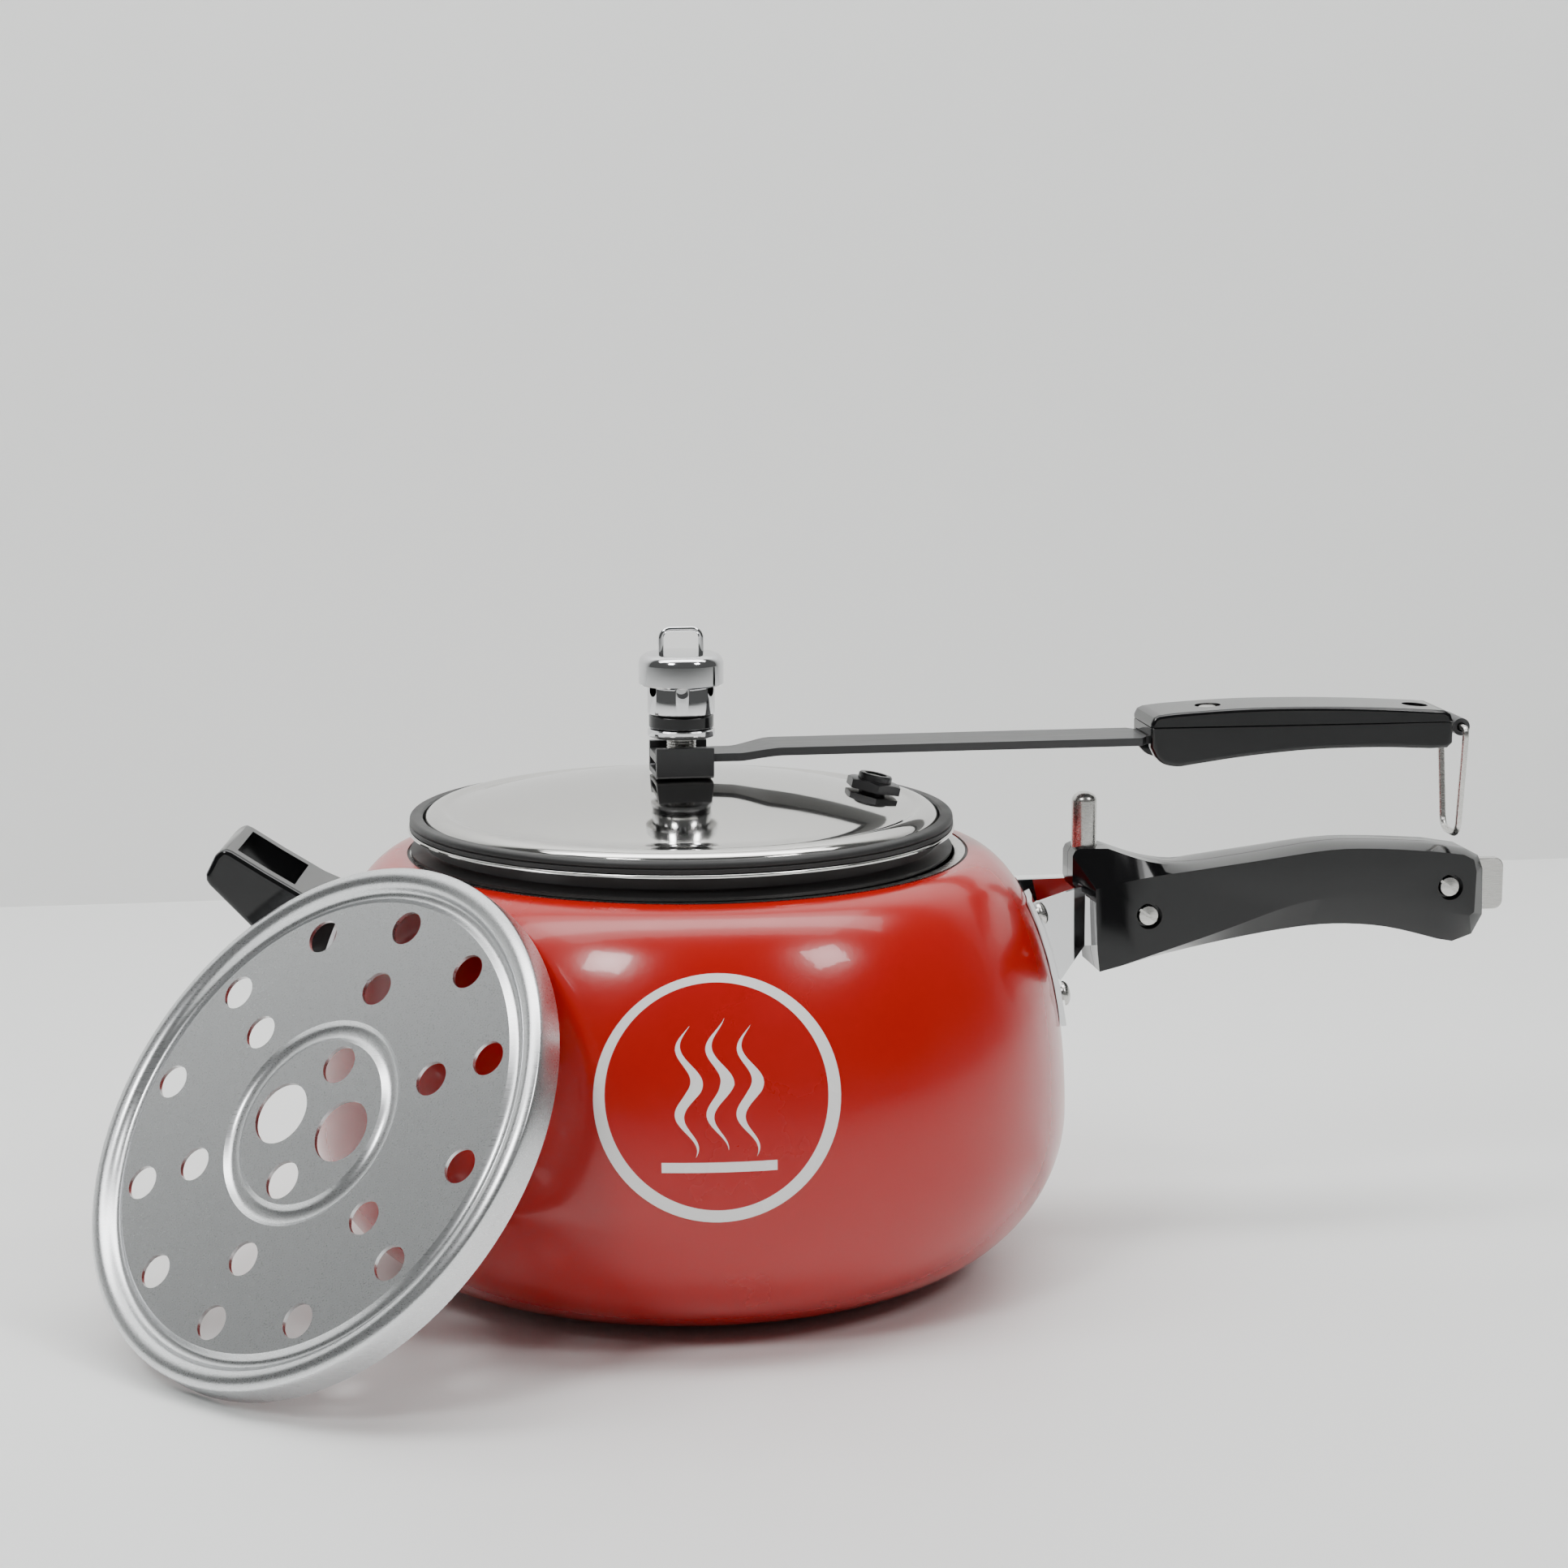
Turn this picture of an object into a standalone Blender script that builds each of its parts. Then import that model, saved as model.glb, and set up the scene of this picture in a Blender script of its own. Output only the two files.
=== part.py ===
"""Stovetop pressure cooker with a lid, a lever bar, a wire latch and a cooking grid.

Metres, +Z up.  The origin is at the centre of the pot's base and the long
handles point along +X.  Heights are measured from the table, from the mouth
of the pot or from the lip of the lid; lengths along the handles are measured
from the widest part of the pot.
"""
import math

import bmesh
import bpy
from mathutils import Matrix, Vector

MM = 0.001

# Clearances
GAP = 0.3 * MM              # between pieces that touch
SLACK = 0.7 * MM            # between pieces that are riveted over a curve

# Pot
POT_RADIUS = 122.0 * MM     # widest, outside
POT_HEIGHT = 135.0 * MM     # table to mouth
BELLY_HEIGHT = 51.0 * MM    # height of the widest part
BASE_RADIUS = 68.0 * MM     # flat of the base
SHOULDER_RADIUS = 90.0 * MM  # where the shoulder runs into the flat mouth ring
MOUTH_RADIUS = 85.5 * MM
POT_WALL = 3.25 * MM
BASE_WALL = 4.0 * MM

# Lid, with heights measured from its lip
LID_SHIFT = -2.0 * MM       # the loose lid lies this far off the mouth's axis
LIP_LIFT = 8.3 * MM         # lip above the mouth of the pot
LIP_OVERHANG = 2.0 * MM     # lip beyond the mouth
LIP_WIDTH = 5.0 * MM        # flat ledge that carries the gasket
BEAD_WIDTH = 8.5 * MM       # convex rim round the dome
BEAD_RISE = 6.0 * MM
DOME_RISE = 15.4 * MM
LID_SHEET = 1.0 * MM
GASKET_HEIGHT = 3.7 * MM
GASKET_WIDTH = 4.3 * MM
REST_RING_DEPTH = 3.0 * MM  # how far the rest ring dips into the mouth
REST_RING_WALL = 3.0 * MM

# Vent, bracket and safety valve
STEM_RADIUS = 3.0 * MM
STEM_BORE = 1.1 * MM
FLANGE_RADIUS = 7.0 * MM
FLANGE_HEIGHT = 1.8 * MM
VENT_NUT_ACROSS = 10.0 * MM
COLLAR_RADIUS = 4.7 * MM
COLLAR_HEIGHT = 4.0 * MM
BRACKET_LENGTH = 18.5 * MM
BRACKET_WIDTH = 20.0 * MM
BRACKET_SHEET = 2.0 * MM
BRACKET_HEIGHT = 10.0 * MM
VALVE_REACH = 62.1 * MM     # lid axis to safety valve
VALVE_ACROSS = 16.0 * MM
VALVE_HEIGHT = 3.0 * MM
VALVE_COLLAR_RADIUS = 5.5 * MM
VALVE_COLLAR_HEIGHT = 2.2 * MM
VALVE_SHANK_RADIUS = 4.5 * MM
VALVE_NUT_ACROSS = 14.0 * MM
PLUG_RADIUS = 3.2 * MM

# Lever bar, lid handle and latch
BAR_SHEET = 2.6 * MM
BAR_RISE = 5.4 * MM         # underside of the bar above the top of the lid
BAR_END_WIDTH = 15.0 * MM
BAR_WIDTH = 22.0 * MM
TANG_WIDTH = 16.0 * MM      # part of the bar inside the lid handle
EYE_RADIUS = 2.9 * MM
EYE_BORE = 1.5 * MM
LID_GRIP_WIDTH = 24.0 * MM
LATCH_WIRE = 1.1 * MM       # radius
LATCH_TOP_WIDTH = 24.6 * MM
LATCH_FOOT_WIDTH = 16.0 * MM
LATCH_DROP = 36.2 * MM      # eye to the foot of the loop
LATCH_X = 133.55 * MM       # latch pivot beyond the widest part of the pot

# Regulator weight
WEIGHT_RADIUS = 10.8 * MM
WEIGHT_BORE = 4.6 * MM
BAND_RADIUS = 10.4 * MM
CAP_RADIUS = 13.6 * MM
BASE_RING_HEIGHT = 2.6 * MM
BAND_HEIGHT = 4.2 * MM
BARREL_HEIGHT = 10.6 * MM
CAP_HEIGHT = 8.5 * MM
WEIGHT_WIRE = 0.9 * MM      # radius
WEIGHT_LOOP_WIDTH = 12.8 * MM
WEIGHT_LOOP_HEIGHT = 7.6 * MM
WEIGHT_LOOP_BEND = 3.0 * MM

# Body handle
GRIP_WIDTH = 24.0 * MM
CORE_SHEET = 3.0 * MM
CORE_MARGIN = 4.0 * MM      # grip shell round the steel core
POST_RADIUS = 4.1 * MM
POST_HEIGHT = 14.9 * MM
POST_DEPTH = 8.0 * MM
POST_X = 8.6 * MM           # beyond the widest part of the pot
SCREW_HEAD_RADIUS = 3.4 * MM
SCREW_HEAD_HEIGHT = 1.8 * MM
SCREW_SHANK_RADIUS = 1.8 * MM
SCREW_NUT_ACROSS = 6.6 * MM
SCREW_NUT_HEIGHT = 2.4 * MM
RECESS_RADIUS = 4.3 * MM
RECESS_DEPTH = 2.6 * MM

# Brackets and rivets on the pot
PLATE_SHEET = 1.8 * MM
ARM_SPREAD = 6.8 * MM       # middle of each bracket arm from the centre plane
RIVET_HEAD_RADIUS = 4.0 * MM
RIVET_HEAD_HEIGHT = 2.2 * MM
RIVET_SHANK_RADIUS = 2.2 * MM
RIVET_TAIL_HEIGHT = 1.2 * MM
RIVET_HEIGHTS = (-21.0 * MM, -47.0 * MM)   # from the mouth of the pot
FLANGE_ANGLES = (5.0, 15.0)                # degrees round the pot from the handle
FLANGE_HEIGHTS = (-56.0 * MM, -16.0 * MM)
LANDING_ANGLE = 7.8                        # where a bracket arm meets the pot
RIVET_ANGLE = 12.0

# Support handle
SUPPORT_WIDTH = 44.0 * MM
SUPPORT_SLOT_LENGTH = 19.0 * MM
SUPPORT_SLOT_WIDTH = 31.0 * MM
TONGUE_WIDTH = 16.0 * MM
TONGUE_SHEET = 4.0 * MM
TONGUE_LENGTH = 15.0 * MM

# Cooking grid, leaning on the pot
GRID_RADIUS = 84.3 * MM
GRID_SHEET = 1.2 * MM
GRID_DEPTH = 10.6 * MM
GRID_TILT = math.radians(54.0)
GRID_TURN = math.radians(-141.0)   # direction in which the grid faces
GRID_SLIP = -8.0 * MM              # along the pot, away from the support handle
GRID_SPIN = math.radians(-1.0)     # hole pattern round the grid's own axis
OUTER_HOLES = (12, 65.0 * MM, 5.4 * MM)    # count, ring radius, hole radius
MIDDLE_HOLES = (6, 44.5 * MM, 5.4 * MM)
SMALL_HOLES = (2, 19.0 * MM, 6.0 * MM)
LARGE_HOLES = (2, 13.6 * MM, 9.8 * MM)

POT_SEGMENTS = 48
RING_SEGMENTS = 48
WEIGHT_SEGMENTS = 24
SMALL_SEGMENTS = 14
HOLE_SEGMENTS = 10

# Levels worked out from the sizes above
LIP_Z = POT_HEIGHT + LIP_LIFT
LIP_RADIUS = MOUTH_RADIUS + LIP_OVERHANG
LID_TOP = LIP_Z + DOME_RISE
DOME_RADIUS = LIP_RADIUS - LIP_WIDTH - BEAD_WIDTH
BAR_LOW = LID_TOP + BAR_RISE
BAR_TOP = BAR_LOW + BAR_SHEET
COLLAR_LOW = BAR_TOP + 2.0 * GAP
WEIGHT_LOW = COLLAR_LOW + COLLAR_HEIGHT + GAP
EYE_Z = BAR_LOW + 5.2 * MM
BEND_Z = (BAR_LOW, BAR_LOW + 1.0 * MM, BAR_LOW + 2.0 * MM, EYE_Z - 1.3 * MM)
LID_REACH = POT_RADIUS - LID_SHIFT   # from the lid's own axis to the widest part of the pot


# ---------------------------------------------------------------- helpers
def clear_scene():
    for item in list(bpy.data.objects):
        bpy.data.objects.remove(item, do_unlink=True)


def make_material(name, color, roughness, metallic):
    finish = bpy.data.materials.new(name)
    finish.use_nodes = True
    shader = finish.node_tree.nodes["Principled BSDF"]
    shader.inputs["Base Color"].default_value = (*color, 1.0)
    shader.inputs["Roughness"].default_value = roughness
    shader.inputs["Metallic"].default_value = metallic
    finish.diffuse_color = (*color, 1.0)
    return finish


def make_axis(name, location, parent=None):
    """An empty on a joint's axis, which carries the pieces of one moving body."""
    axis = bpy.data.objects.new(name, None)
    bpy.context.scene.collection.objects.link(axis)
    axis.location = location
    if parent:
        axis.parent = parent
        axis.matrix_parent_inverse = Matrix.Translation(parent["world"]).inverted()
    axis["world"] = tuple(location)
    return axis


def add_object(name, data, look, axis=None):
    item = bpy.data.objects.new(name, data)
    bpy.context.scene.collection.objects.link(item)
    if look:
        data.materials.append(look)
    if axis:
        item.parent = axis
        item.matrix_parent_inverse = Matrix.Translation(axis["world"]).inverted()
    return item


def mesh_object(name, shape, look, axis=None, smooth=35.0):
    """Turn a bmesh into an object with outward faces and smooth round sides."""
    bmesh.ops.recalc_face_normals(shape, faces=shape.faces)
    data = bpy.data.meshes.new(name)
    shape.to_mesh(data)
    shape.free()
    data.shade_smooth()
    data.set_sharp_from_angle(angle=math.radians(smooth))
    return add_object(name, data, look, axis)


def turned(name, profile, look, axis=None, segments=RING_SEGMENTS):
    """Spin an outline of (radius, height) points round +Z into one closed solid."""
    shape = bmesh.new()
    points = [shape.verts.new((radius, 0.0, height)) for radius, height in profile]
    edges = [shape.edges.new(pair) for pair in zip(points, points[1:])]
    if profile[0][0] > 0.0 or profile[-1][0] > 0.0:
        edges.append(shape.edges.new((points[-1], points[0])))
    bmesh.ops.spin(shape, geom=points + edges, cent=(0.0, 0.0, 0.0), axis=(0.0, 0.0, 1.0),
                   angle=2.0 * math.pi, steps=segments, use_merge=True)
    bmesh.ops.remove_doubles(shape, verts=shape.verts, dist=1e-6)
    return mesh_object(name, shape, look, axis)


def hex_nut(name, across, bore, low, high, look, axis=None):
    """A hexagonal nut round +Z, measured across its flats, with a round bore."""
    shape = bmesh.new()
    rings = []
    for level, hexagon in ((low, False), (low, True), (high, True), (high, False)):
        ring = []
        for k in range(12):
            angle = math.radians(30.0 * k)
            radius = across / 2.0 / (math.cos(math.radians(30.0)) if k % 2 else 1.0)
            radius = radius if hexagon else bore
            ring.append(shape.verts.new((radius * math.cos(angle), radius * math.sin(angle), level)))
        rings.append(ring)
    for first, second in zip(rings, rings[1:] + rings[:1]):
        for k in range(12):
            n = (k + 1) % 12
            shape.faces.new((first[k], first[n], second[n], second[k]))
    return mesh_object(name, shape, look, axis)


def slab(name, outline, low, high, look, axis=None):
    """Extrude a closed outline of (x, z) points along Y from low to high."""
    shape = bmesh.new()
    face = shape.faces.new([shape.verts.new((x, low, z)) for x, z in outline])
    moved = bmesh.ops.extrude_face_region(shape, geom=[face])["geom"]
    corners = [part for part in moved if isinstance(part, bmesh.types.BMVert)]
    bmesh.ops.translate(shape, verts=corners, vec=(0.0, high - low, 0.0))
    return mesh_object(name, shape, look, axis)


def loft(name, rings, look, axis=None):
    """Bridge a row of matching closed rings and cap both ends."""
    shape = bmesh.new()
    rows = [[shape.verts.new(point) for point in ring] for ring in rings]
    count = len(rows[0])
    for first, second in zip(rows, rows[1:]):
        for k in range(count):
            n = (k + 1) % count
            shape.faces.new((first[k], first[n], second[n], second[k]))
    shape.faces.new(rows[0])
    shape.faces.new(rows[-1])
    return mesh_object(name, shape, look, axis)


def block(name, low, high, look, axis=None):
    """A box from one corner to the other."""
    outline = [(low[0], low[2]), (high[0], low[2]), (high[0], high[2]), (low[0], high[2])]
    return slab(name, outline, low[1], high[1], look, axis)


def rod(name, radius, start, end, look=None, axis=None, segments=SMALL_SEGMENTS):
    """A cylinder between two points."""
    start, end = Vector(start), Vector(end)
    shape = bmesh.new()
    bmesh.ops.create_cone(shape, cap_ends=True, segments=segments, radius1=radius,
                          radius2=radius, depth=(end - start).length)
    turn = (end - start).to_track_quat("Z", "Y").to_matrix().to_4x4()
    bmesh.ops.transform(shape, matrix=Matrix.Translation((start + end) / 2.0) @ turn,
                        verts=shape.verts)
    return mesh_object(name, shape, look, axis)


def wire(name, points, radius, look, axis, closed):
    """A round wire along a row of points."""
    curve = bpy.data.curves.new(name, "CURVE")
    curve.dimensions = "3D"
    curve.bevel_depth = radius
    curve.bevel_resolution = 2
    curve.use_fill_caps = True
    spline = curve.splines.new("POLY")
    spline.points.add(len(points) - 1)
    for knot, point in zip(spline.points, points):
        knot.co = (*point, 1.0)
    spline.use_cyclic_u = closed
    return add_object(name, curve, look, axis)


def boolean(target, tool, operation="DIFFERENCE"):
    """Cut or join with another object, which is then only a guide."""
    step = target.modifiers.new(f"{operation.lower()} {tool.name}", "BOOLEAN")
    step.operation = operation
    step.solver = "EXACT"
    step.object = tool
    tool.hide_render = True
    tool.display_type = "WIRE"


def bevel(target, width, segments=1, angle=40.0):
    step = target.modifiers.new("rounded edges", "BEVEL")
    step.width = width
    step.segments = segments
    step.limit_method = "ANGLE"
    step.angle_limit = math.radians(angle)


def smooth_row(points, steps):
    """Points on a smooth curve through the given points."""
    ends = [points[0]] + list(points) + [points[-1]]
    row = []
    for a, b, c, d in zip(ends, ends[1:], ends[2:], ends[3:]):
        for k in range(steps):
            t = k / steps
            row.append(tuple(0.5 * (2.0 * q + (r - p) * t
                                    + (2.0 * p - 5.0 * q + 4.0 * r - s) * t * t
                                    + (3.0 * q - p - 3.0 * r + s) * t ** 3)
                             for p, q, r, s in zip(a, b, c, d)))
    row.append(tuple(points[-1]))
    return row


def arc(center, radii, start, end, steps):
    """Points on an ellipse's arc, angles in degrees, without the last point."""
    row = []
    for k in range(steps):
        angle = math.radians(start + (end - start) * k / steps)
        row.append((center[0] + radii[0] * math.cos(angle),
                    center[1] + radii[1] * math.sin(angle)))
    return row


def offset_row(points, distance):
    """A row of (radius, height) points moved sideways, to its right, by a distance."""
    row = []
    for k, point in enumerate(points):
        before = Vector(points[max(k - 1, 0)])
        after = Vector(points[min(k + 1, len(points) - 1)])
        here = Vector(point)
        sides = []
        for run in (here - before, after - here):
            if run.length > 0.0:
                sides.append(Vector((run.y, -run.x)).normalized())
        middle = sum(sides, Vector((0.0, 0.0))).normalized()
        row.append(tuple(here + middle * distance / max(middle.dot(sides[0]), 0.5)))
    return row


def from_pot(points):
    """Places measured outwards from the widest part of the pot and up from its mouth."""
    return [(POT_RADIUS + x * MM, POT_HEIGHT + z * MM) for x, z in points]


def inset(outline, distance):
    """A closed outline drawn in by a distance, whichever way round it runs."""
    count = len(outline)
    area = sum(outline[k - 1][0] * outline[k][1] - outline[k][0] * outline[k - 1][1]
               for k in range(count))
    side = 1.0 if area > 0.0 else -1.0
    row = []
    for k in range(count):
        here = Vector(outline[k])
        first = (here - Vector(outline[k - 1])).normalized()
        second = (Vector(outline[(k + 1) % count]) - here).normalized()
        normals = [Vector((-run.y, run.x)) * side for run in (first, second)]
        middle = (normals[0] + normals[1]).normalized()
        row.append(tuple(here + middle * distance / max(middle.dot(normals[0]), 0.6)))
    return row


# ---------------------------------------------------------------- pot
def shoulder(angle, lift):
    """A point on the outside of the shoulder and its outward direction, as (r, z)."""
    across = POT_RADIUS - SHOULDER_RADIUS
    rise = POT_HEIGHT - BELLY_HEIGHT
    point = Vector((SHOULDER_RADIUS + across * math.cos(angle),
                    BELLY_HEIGHT + rise * math.sin(angle)))
    out = Vector((math.cos(angle) / across, math.sin(angle) / rise)).normalized()
    return point + out * lift, out


def shoulder_angle(height):
    return math.asin((height - BELLY_HEIGHT) / (POT_HEIGHT - BELLY_HEIGHT))


def outside_profile(lift, lower_steps=6, upper_steps=7):
    """The outside of the pot, from the base up to the mouth ring, moved out by lift."""
    lower = arc((BASE_RADIUS, BELLY_HEIGHT),
                (POT_RADIUS - BASE_RADIUS + lift, BELLY_HEIGHT + lift), -90.0, 0.0, lower_steps)
    upper = arc((SHOULDER_RADIUS, BELLY_HEIGHT),
                (POT_RADIUS - SHOULDER_RADIUS + lift, POT_HEIGHT - BELLY_HEIGHT + lift),
                0.0, 90.0, upper_steps)
    return lower + upper + [(SHOULDER_RADIUS, POT_HEIGHT + lift)]


def inside_profile():
    upper = arc((SHOULDER_RADIUS, BELLY_HEIGHT),
                (POT_RADIUS - SHOULDER_RADIUS - POT_WALL, POT_HEIGHT - BELLY_HEIGHT - POT_WALL),
                90.0, 0.0, 7)
    lower = arc((BASE_RADIUS, BELLY_HEIGHT),
                (POT_RADIUS - BASE_RADIUS - POT_WALL, BELLY_HEIGHT - BASE_WALL), 0.0, -90.0, 4)
    return upper + lower + [(BASE_RADIUS, BASE_WALL)]


def rivet_frame(height, degrees):
    """The place and direction of a rivet that stands square on the pot's shoulder."""
    point, out = shoulder(shoulder_angle(height), 0.0)
    spin = Matrix.Rotation(math.radians(degrees), 3, "Z")
    place = spin @ Vector((point.x, 0.0, point.y))
    direction = spin @ Vector((out.x, 0.0, out.y))
    return place, direction


def drill_rivet_holes(target, rivets):
    """Cut a hole for each rivet's shank, through the pot's wall and the sheet on it."""
    for place, direction in rivets:
        reach = direction * 3.0 * POT_WALL
        boolean(target, rod("rivet hole", RIVET_SHANK_RADIUS + GAP, place - reach, place + reach,
                            segments=HOLE_SEGMENTS))


def make_pot(looks, rivets):
    mouth = [(MOUTH_RADIUS + 1.0 * MM, POT_HEIGHT), (MOUTH_RADIUS, POT_HEIGHT - 1.0 * MM),
             (MOUTH_RADIUS, POT_HEIGHT - POT_WALL)]
    profile = [(0.0, 0.0)] + outside_profile(0.0) + mouth + inside_profile()
    profile.append((0.0, BASE_WALL))
    pot = turned("pot_body", profile, looks["red gloss"], segments=POT_SEGMENTS)
    drill_rivet_holes(pot, rivets)


def make_rivet(name, place, direction, looks):
    """A rivet with its head outside the bracket and its tail inside the pot."""
    seat = GAP + PLATE_SHEET + GAP
    tail = -(POT_WALL + SLACK)
    profile = [(0.0, tail - RIVET_TAIL_HEIGHT), (RIVET_HEAD_RADIUS * 0.8, tail - RIVET_TAIL_HEIGHT),
               (RIVET_HEAD_RADIUS * 0.9, tail), (RIVET_SHANK_RADIUS, tail),
               (RIVET_SHANK_RADIUS, seat)]
    profile += [(x, seat + z) for x, z in arc((0.0, 0.0), (RIVET_HEAD_RADIUS, RIVET_HEAD_HEIGHT),
                                              0.0, 90.0, 4)]
    profile.append((0.0, seat + RIVET_HEAD_HEIGHT))
    rivet = turned(name, profile, looks["bright steel"], segments=SMALL_SEGMENTS)
    rivet.location = place
    rivet.rotation_mode = "QUATERNION"
    rivet.rotation_quaternion = direction.to_track_quat("Z", "Y")
    return rivet


def shoulder_plate(name, angles, heights, look, rows=5, columns=3):
    """A sheet that follows the shoulder of the pot, between two angles and two heights."""
    low, high = (shoulder_angle(POT_HEIGHT + height) for height in heights)
    rings = []
    for column in range(columns):
        spin = math.radians(angles[0] + (angles[1] - angles[0]) * column / (columns - 1))
        inner, outer = [], []
        for row in range(rows):
            angle = low + (high - low) * row / (rows - 1)
            for lift, side in ((GAP, inner), (GAP + PLATE_SHEET, outer)):
                point = shoulder(angle, lift)[0]
                side.append((point.x * math.cos(spin), point.x * math.sin(spin), point.y))
        rings.append(inner + outer[::-1])
    return loft(name, rings, look)


def pot_guide(name, lift):
    """The pot's outside, grown by lift, to trim what stands on it."""
    profile = [(0.0, -lift)] + outside_profile(lift, 10, 24) + [(0.0, POT_HEIGHT + lift)]
    return turned(name, profile, None, segments=3 * POT_SEGMENTS)


# ---------------------------------------------------------------- body handle
GRIP_OUTLINE = from_pot(
    [(12.9, -44.1), (11.4, -38.0), (10.2, -18.4), (7.2, -18.1), (3.3, -14.5), (3.3, -5.2),
     (4.1, -3.6), (5.8, -2.9)]
    + smooth_row([(15.1, -3.1), (29.1, -7.9), (43.5, -9.4), (65.1, -7.0), (89.2, -3.8),
                  (107.0, -3.9), (125.8, -5.1)], 2)
    + [(137.0, -7.0), (141.0, -9.0), (142.8, -13.6), (143.1, -29.1), (139.6, -35.6),
       (133.0, -37.9)]
    + smooth_row([(128.1, -37.0), (109.8, -32.2), (91.6, -30.6), (73.6, -31.9), (49.8, -35.7),
                  (26.1, -40.6)], 2))
NOSE_WIDTH = 14.0 * MM      # the nose round the post is narrower than the grip
NOSE_LENGTH = 10.0 * MM     # and ends this far beyond the pot
CORE_FRONT = 16.0 * MM      # where the steel core starts, beyond the pot
TAB_OUTLINE = from_pot([(126.0, -28.7), (149.0, -28.7), (152.1, -25.5), (152.1, -14.4),
                        (149.0, -11.2), (126.0, -11.2)])
SCREW_PLACES = from_pot([(28.0, -25.0), (130.2, -18.6)])
ARM_END = 40.0 * MM         # end of the bracket arms, beyond the pot
ARM_FRONT = 8.5 * MM
ARM_LOW = -35.0 * MM        # edges of the arms inside the grip, from the mouth of the pot
ARM_HIGH = -15.0 * MM


def core_outline():
    """The outline of the steel core inside the body handle."""
    inner = inset(GRIP_OUTLINE, CORE_MARGIN)
    front = POT_RADIUS + CORE_FRONT
    return [(max(x, front), z) for x, z in inner if x > front - 6.0 * MM]


def make_grip(looks):
    core = slab("handle_core", core_outline(), -CORE_SHEET / 2.0, CORE_SHEET / 2.0, looks["steel"])
    tab = slab("catch tab", TAB_OUTLINE, -CORE_SHEET / 2.0, CORE_SHEET / 2.0, None)
    boolean(core, tab, "UNION")
    wide = CORE_SHEET / 2.0 + GAP
    pocket = slab("core pocket", inset(core_outline(), -GAP), -wide, wide, None)
    boolean(pocket, slab("tab pocket", inset(TAB_OUTLINE, -GAP), -wide, wide, None), "UNION")
    post_x = POT_RADIUS + POST_X
    post_hole = rod("post hole", POST_RADIUS + GAP, (post_x, 0.0, POT_HEIGHT - POST_DEPTH),
                    (post_x, 0.0, POT_HEIGHT + POST_HEIGHT))
    halves = []
    for side, name in ((-1.0, "handle_half_front"), (1.0, "handle_half_back")):
        low, high = sorted((side * GAP / 2.0, side * GRIP_WIDTH / 2.0))
        half = slab(name, GRIP_OUTLINE, low, high, looks["black grip"])
        bevel(half, 1.6 * MM)
        for tool in (pocket, post_hole):
            boolean(half, tool)
        spread = side * ARM_SPREAD
        thick = PLATE_SHEET / 2.0 + GAP
        slot = block(f"{name} arm slot", (POT_RADIUS + ARM_FRONT - 5.0 * MM, spread - thick,
                                          POT_HEIGHT + ARM_LOW - GAP),
                     (POT_RADIUS + ARM_END + GAP, spread + thick, POT_HEIGHT + ARM_HIGH + GAP),
                     None)
        boolean(half, slot)
        near, far = sorted((side * NOSE_WIDTH / 2.0, side * GRIP_WIDTH))
        boolean(half, block(f"{name} beside the nose", (POT_RADIUS, near, POT_HEIGHT - 50.0 * MM),
                            (POT_RADIUS + NOSE_LENGTH, far, POT_HEIGHT + 5.0 * MM), None))
        halves.append(half)
    for k, (x, z) in enumerate(SCREW_PLACES):
        hole = rod(f"handle screw hole {k}", SCREW_SHANK_RADIUS + GAP, (x, -GRIP_WIDTH, z),
                   (x, GRIP_WIDTH, z), segments=HOLE_SEGMENTS)
        for piece in (core, *halves):
            boolean(piece, hole)
        for half, side in zip(halves, (-1.0, 1.0)):
            rim = side * GRIP_WIDTH / 2.0
            boolean(half, rod(f"handle recess {k} {side:+.0f}", RECESS_RADIUS,
                              (x, rim - side * RECESS_DEPTH, z), (x, rim + side * GAP * 4.0, z)))
    make_post(looks, post_x)
    for k, place in enumerate(SCREW_PLACES):
        make_handle_screw(("near", "far")[k], place, looks)


def make_post(looks, post_x):
    """The round-nosed post on which the lever bar bears."""
    low = POT_HEIGHT - POST_DEPTH + GAP
    high = POT_HEIGHT + POST_HEIGHT
    profile = [(0.0, low), (POST_RADIUS, low)]
    profile += [(x, high - POST_RADIUS * 0.7 + z)
                for x, z in arc((0.0, 0.0), (POST_RADIUS, POST_RADIUS * 0.7), 0.0, 90.0, 5)]
    profile.append((0.0, high))
    post = turned("fulcrum_post", profile, looks["bright steel"], segments=WEIGHT_SEGMENTS)
    post.location = (post_x, 0.0, 0.0)
    return post


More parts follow.
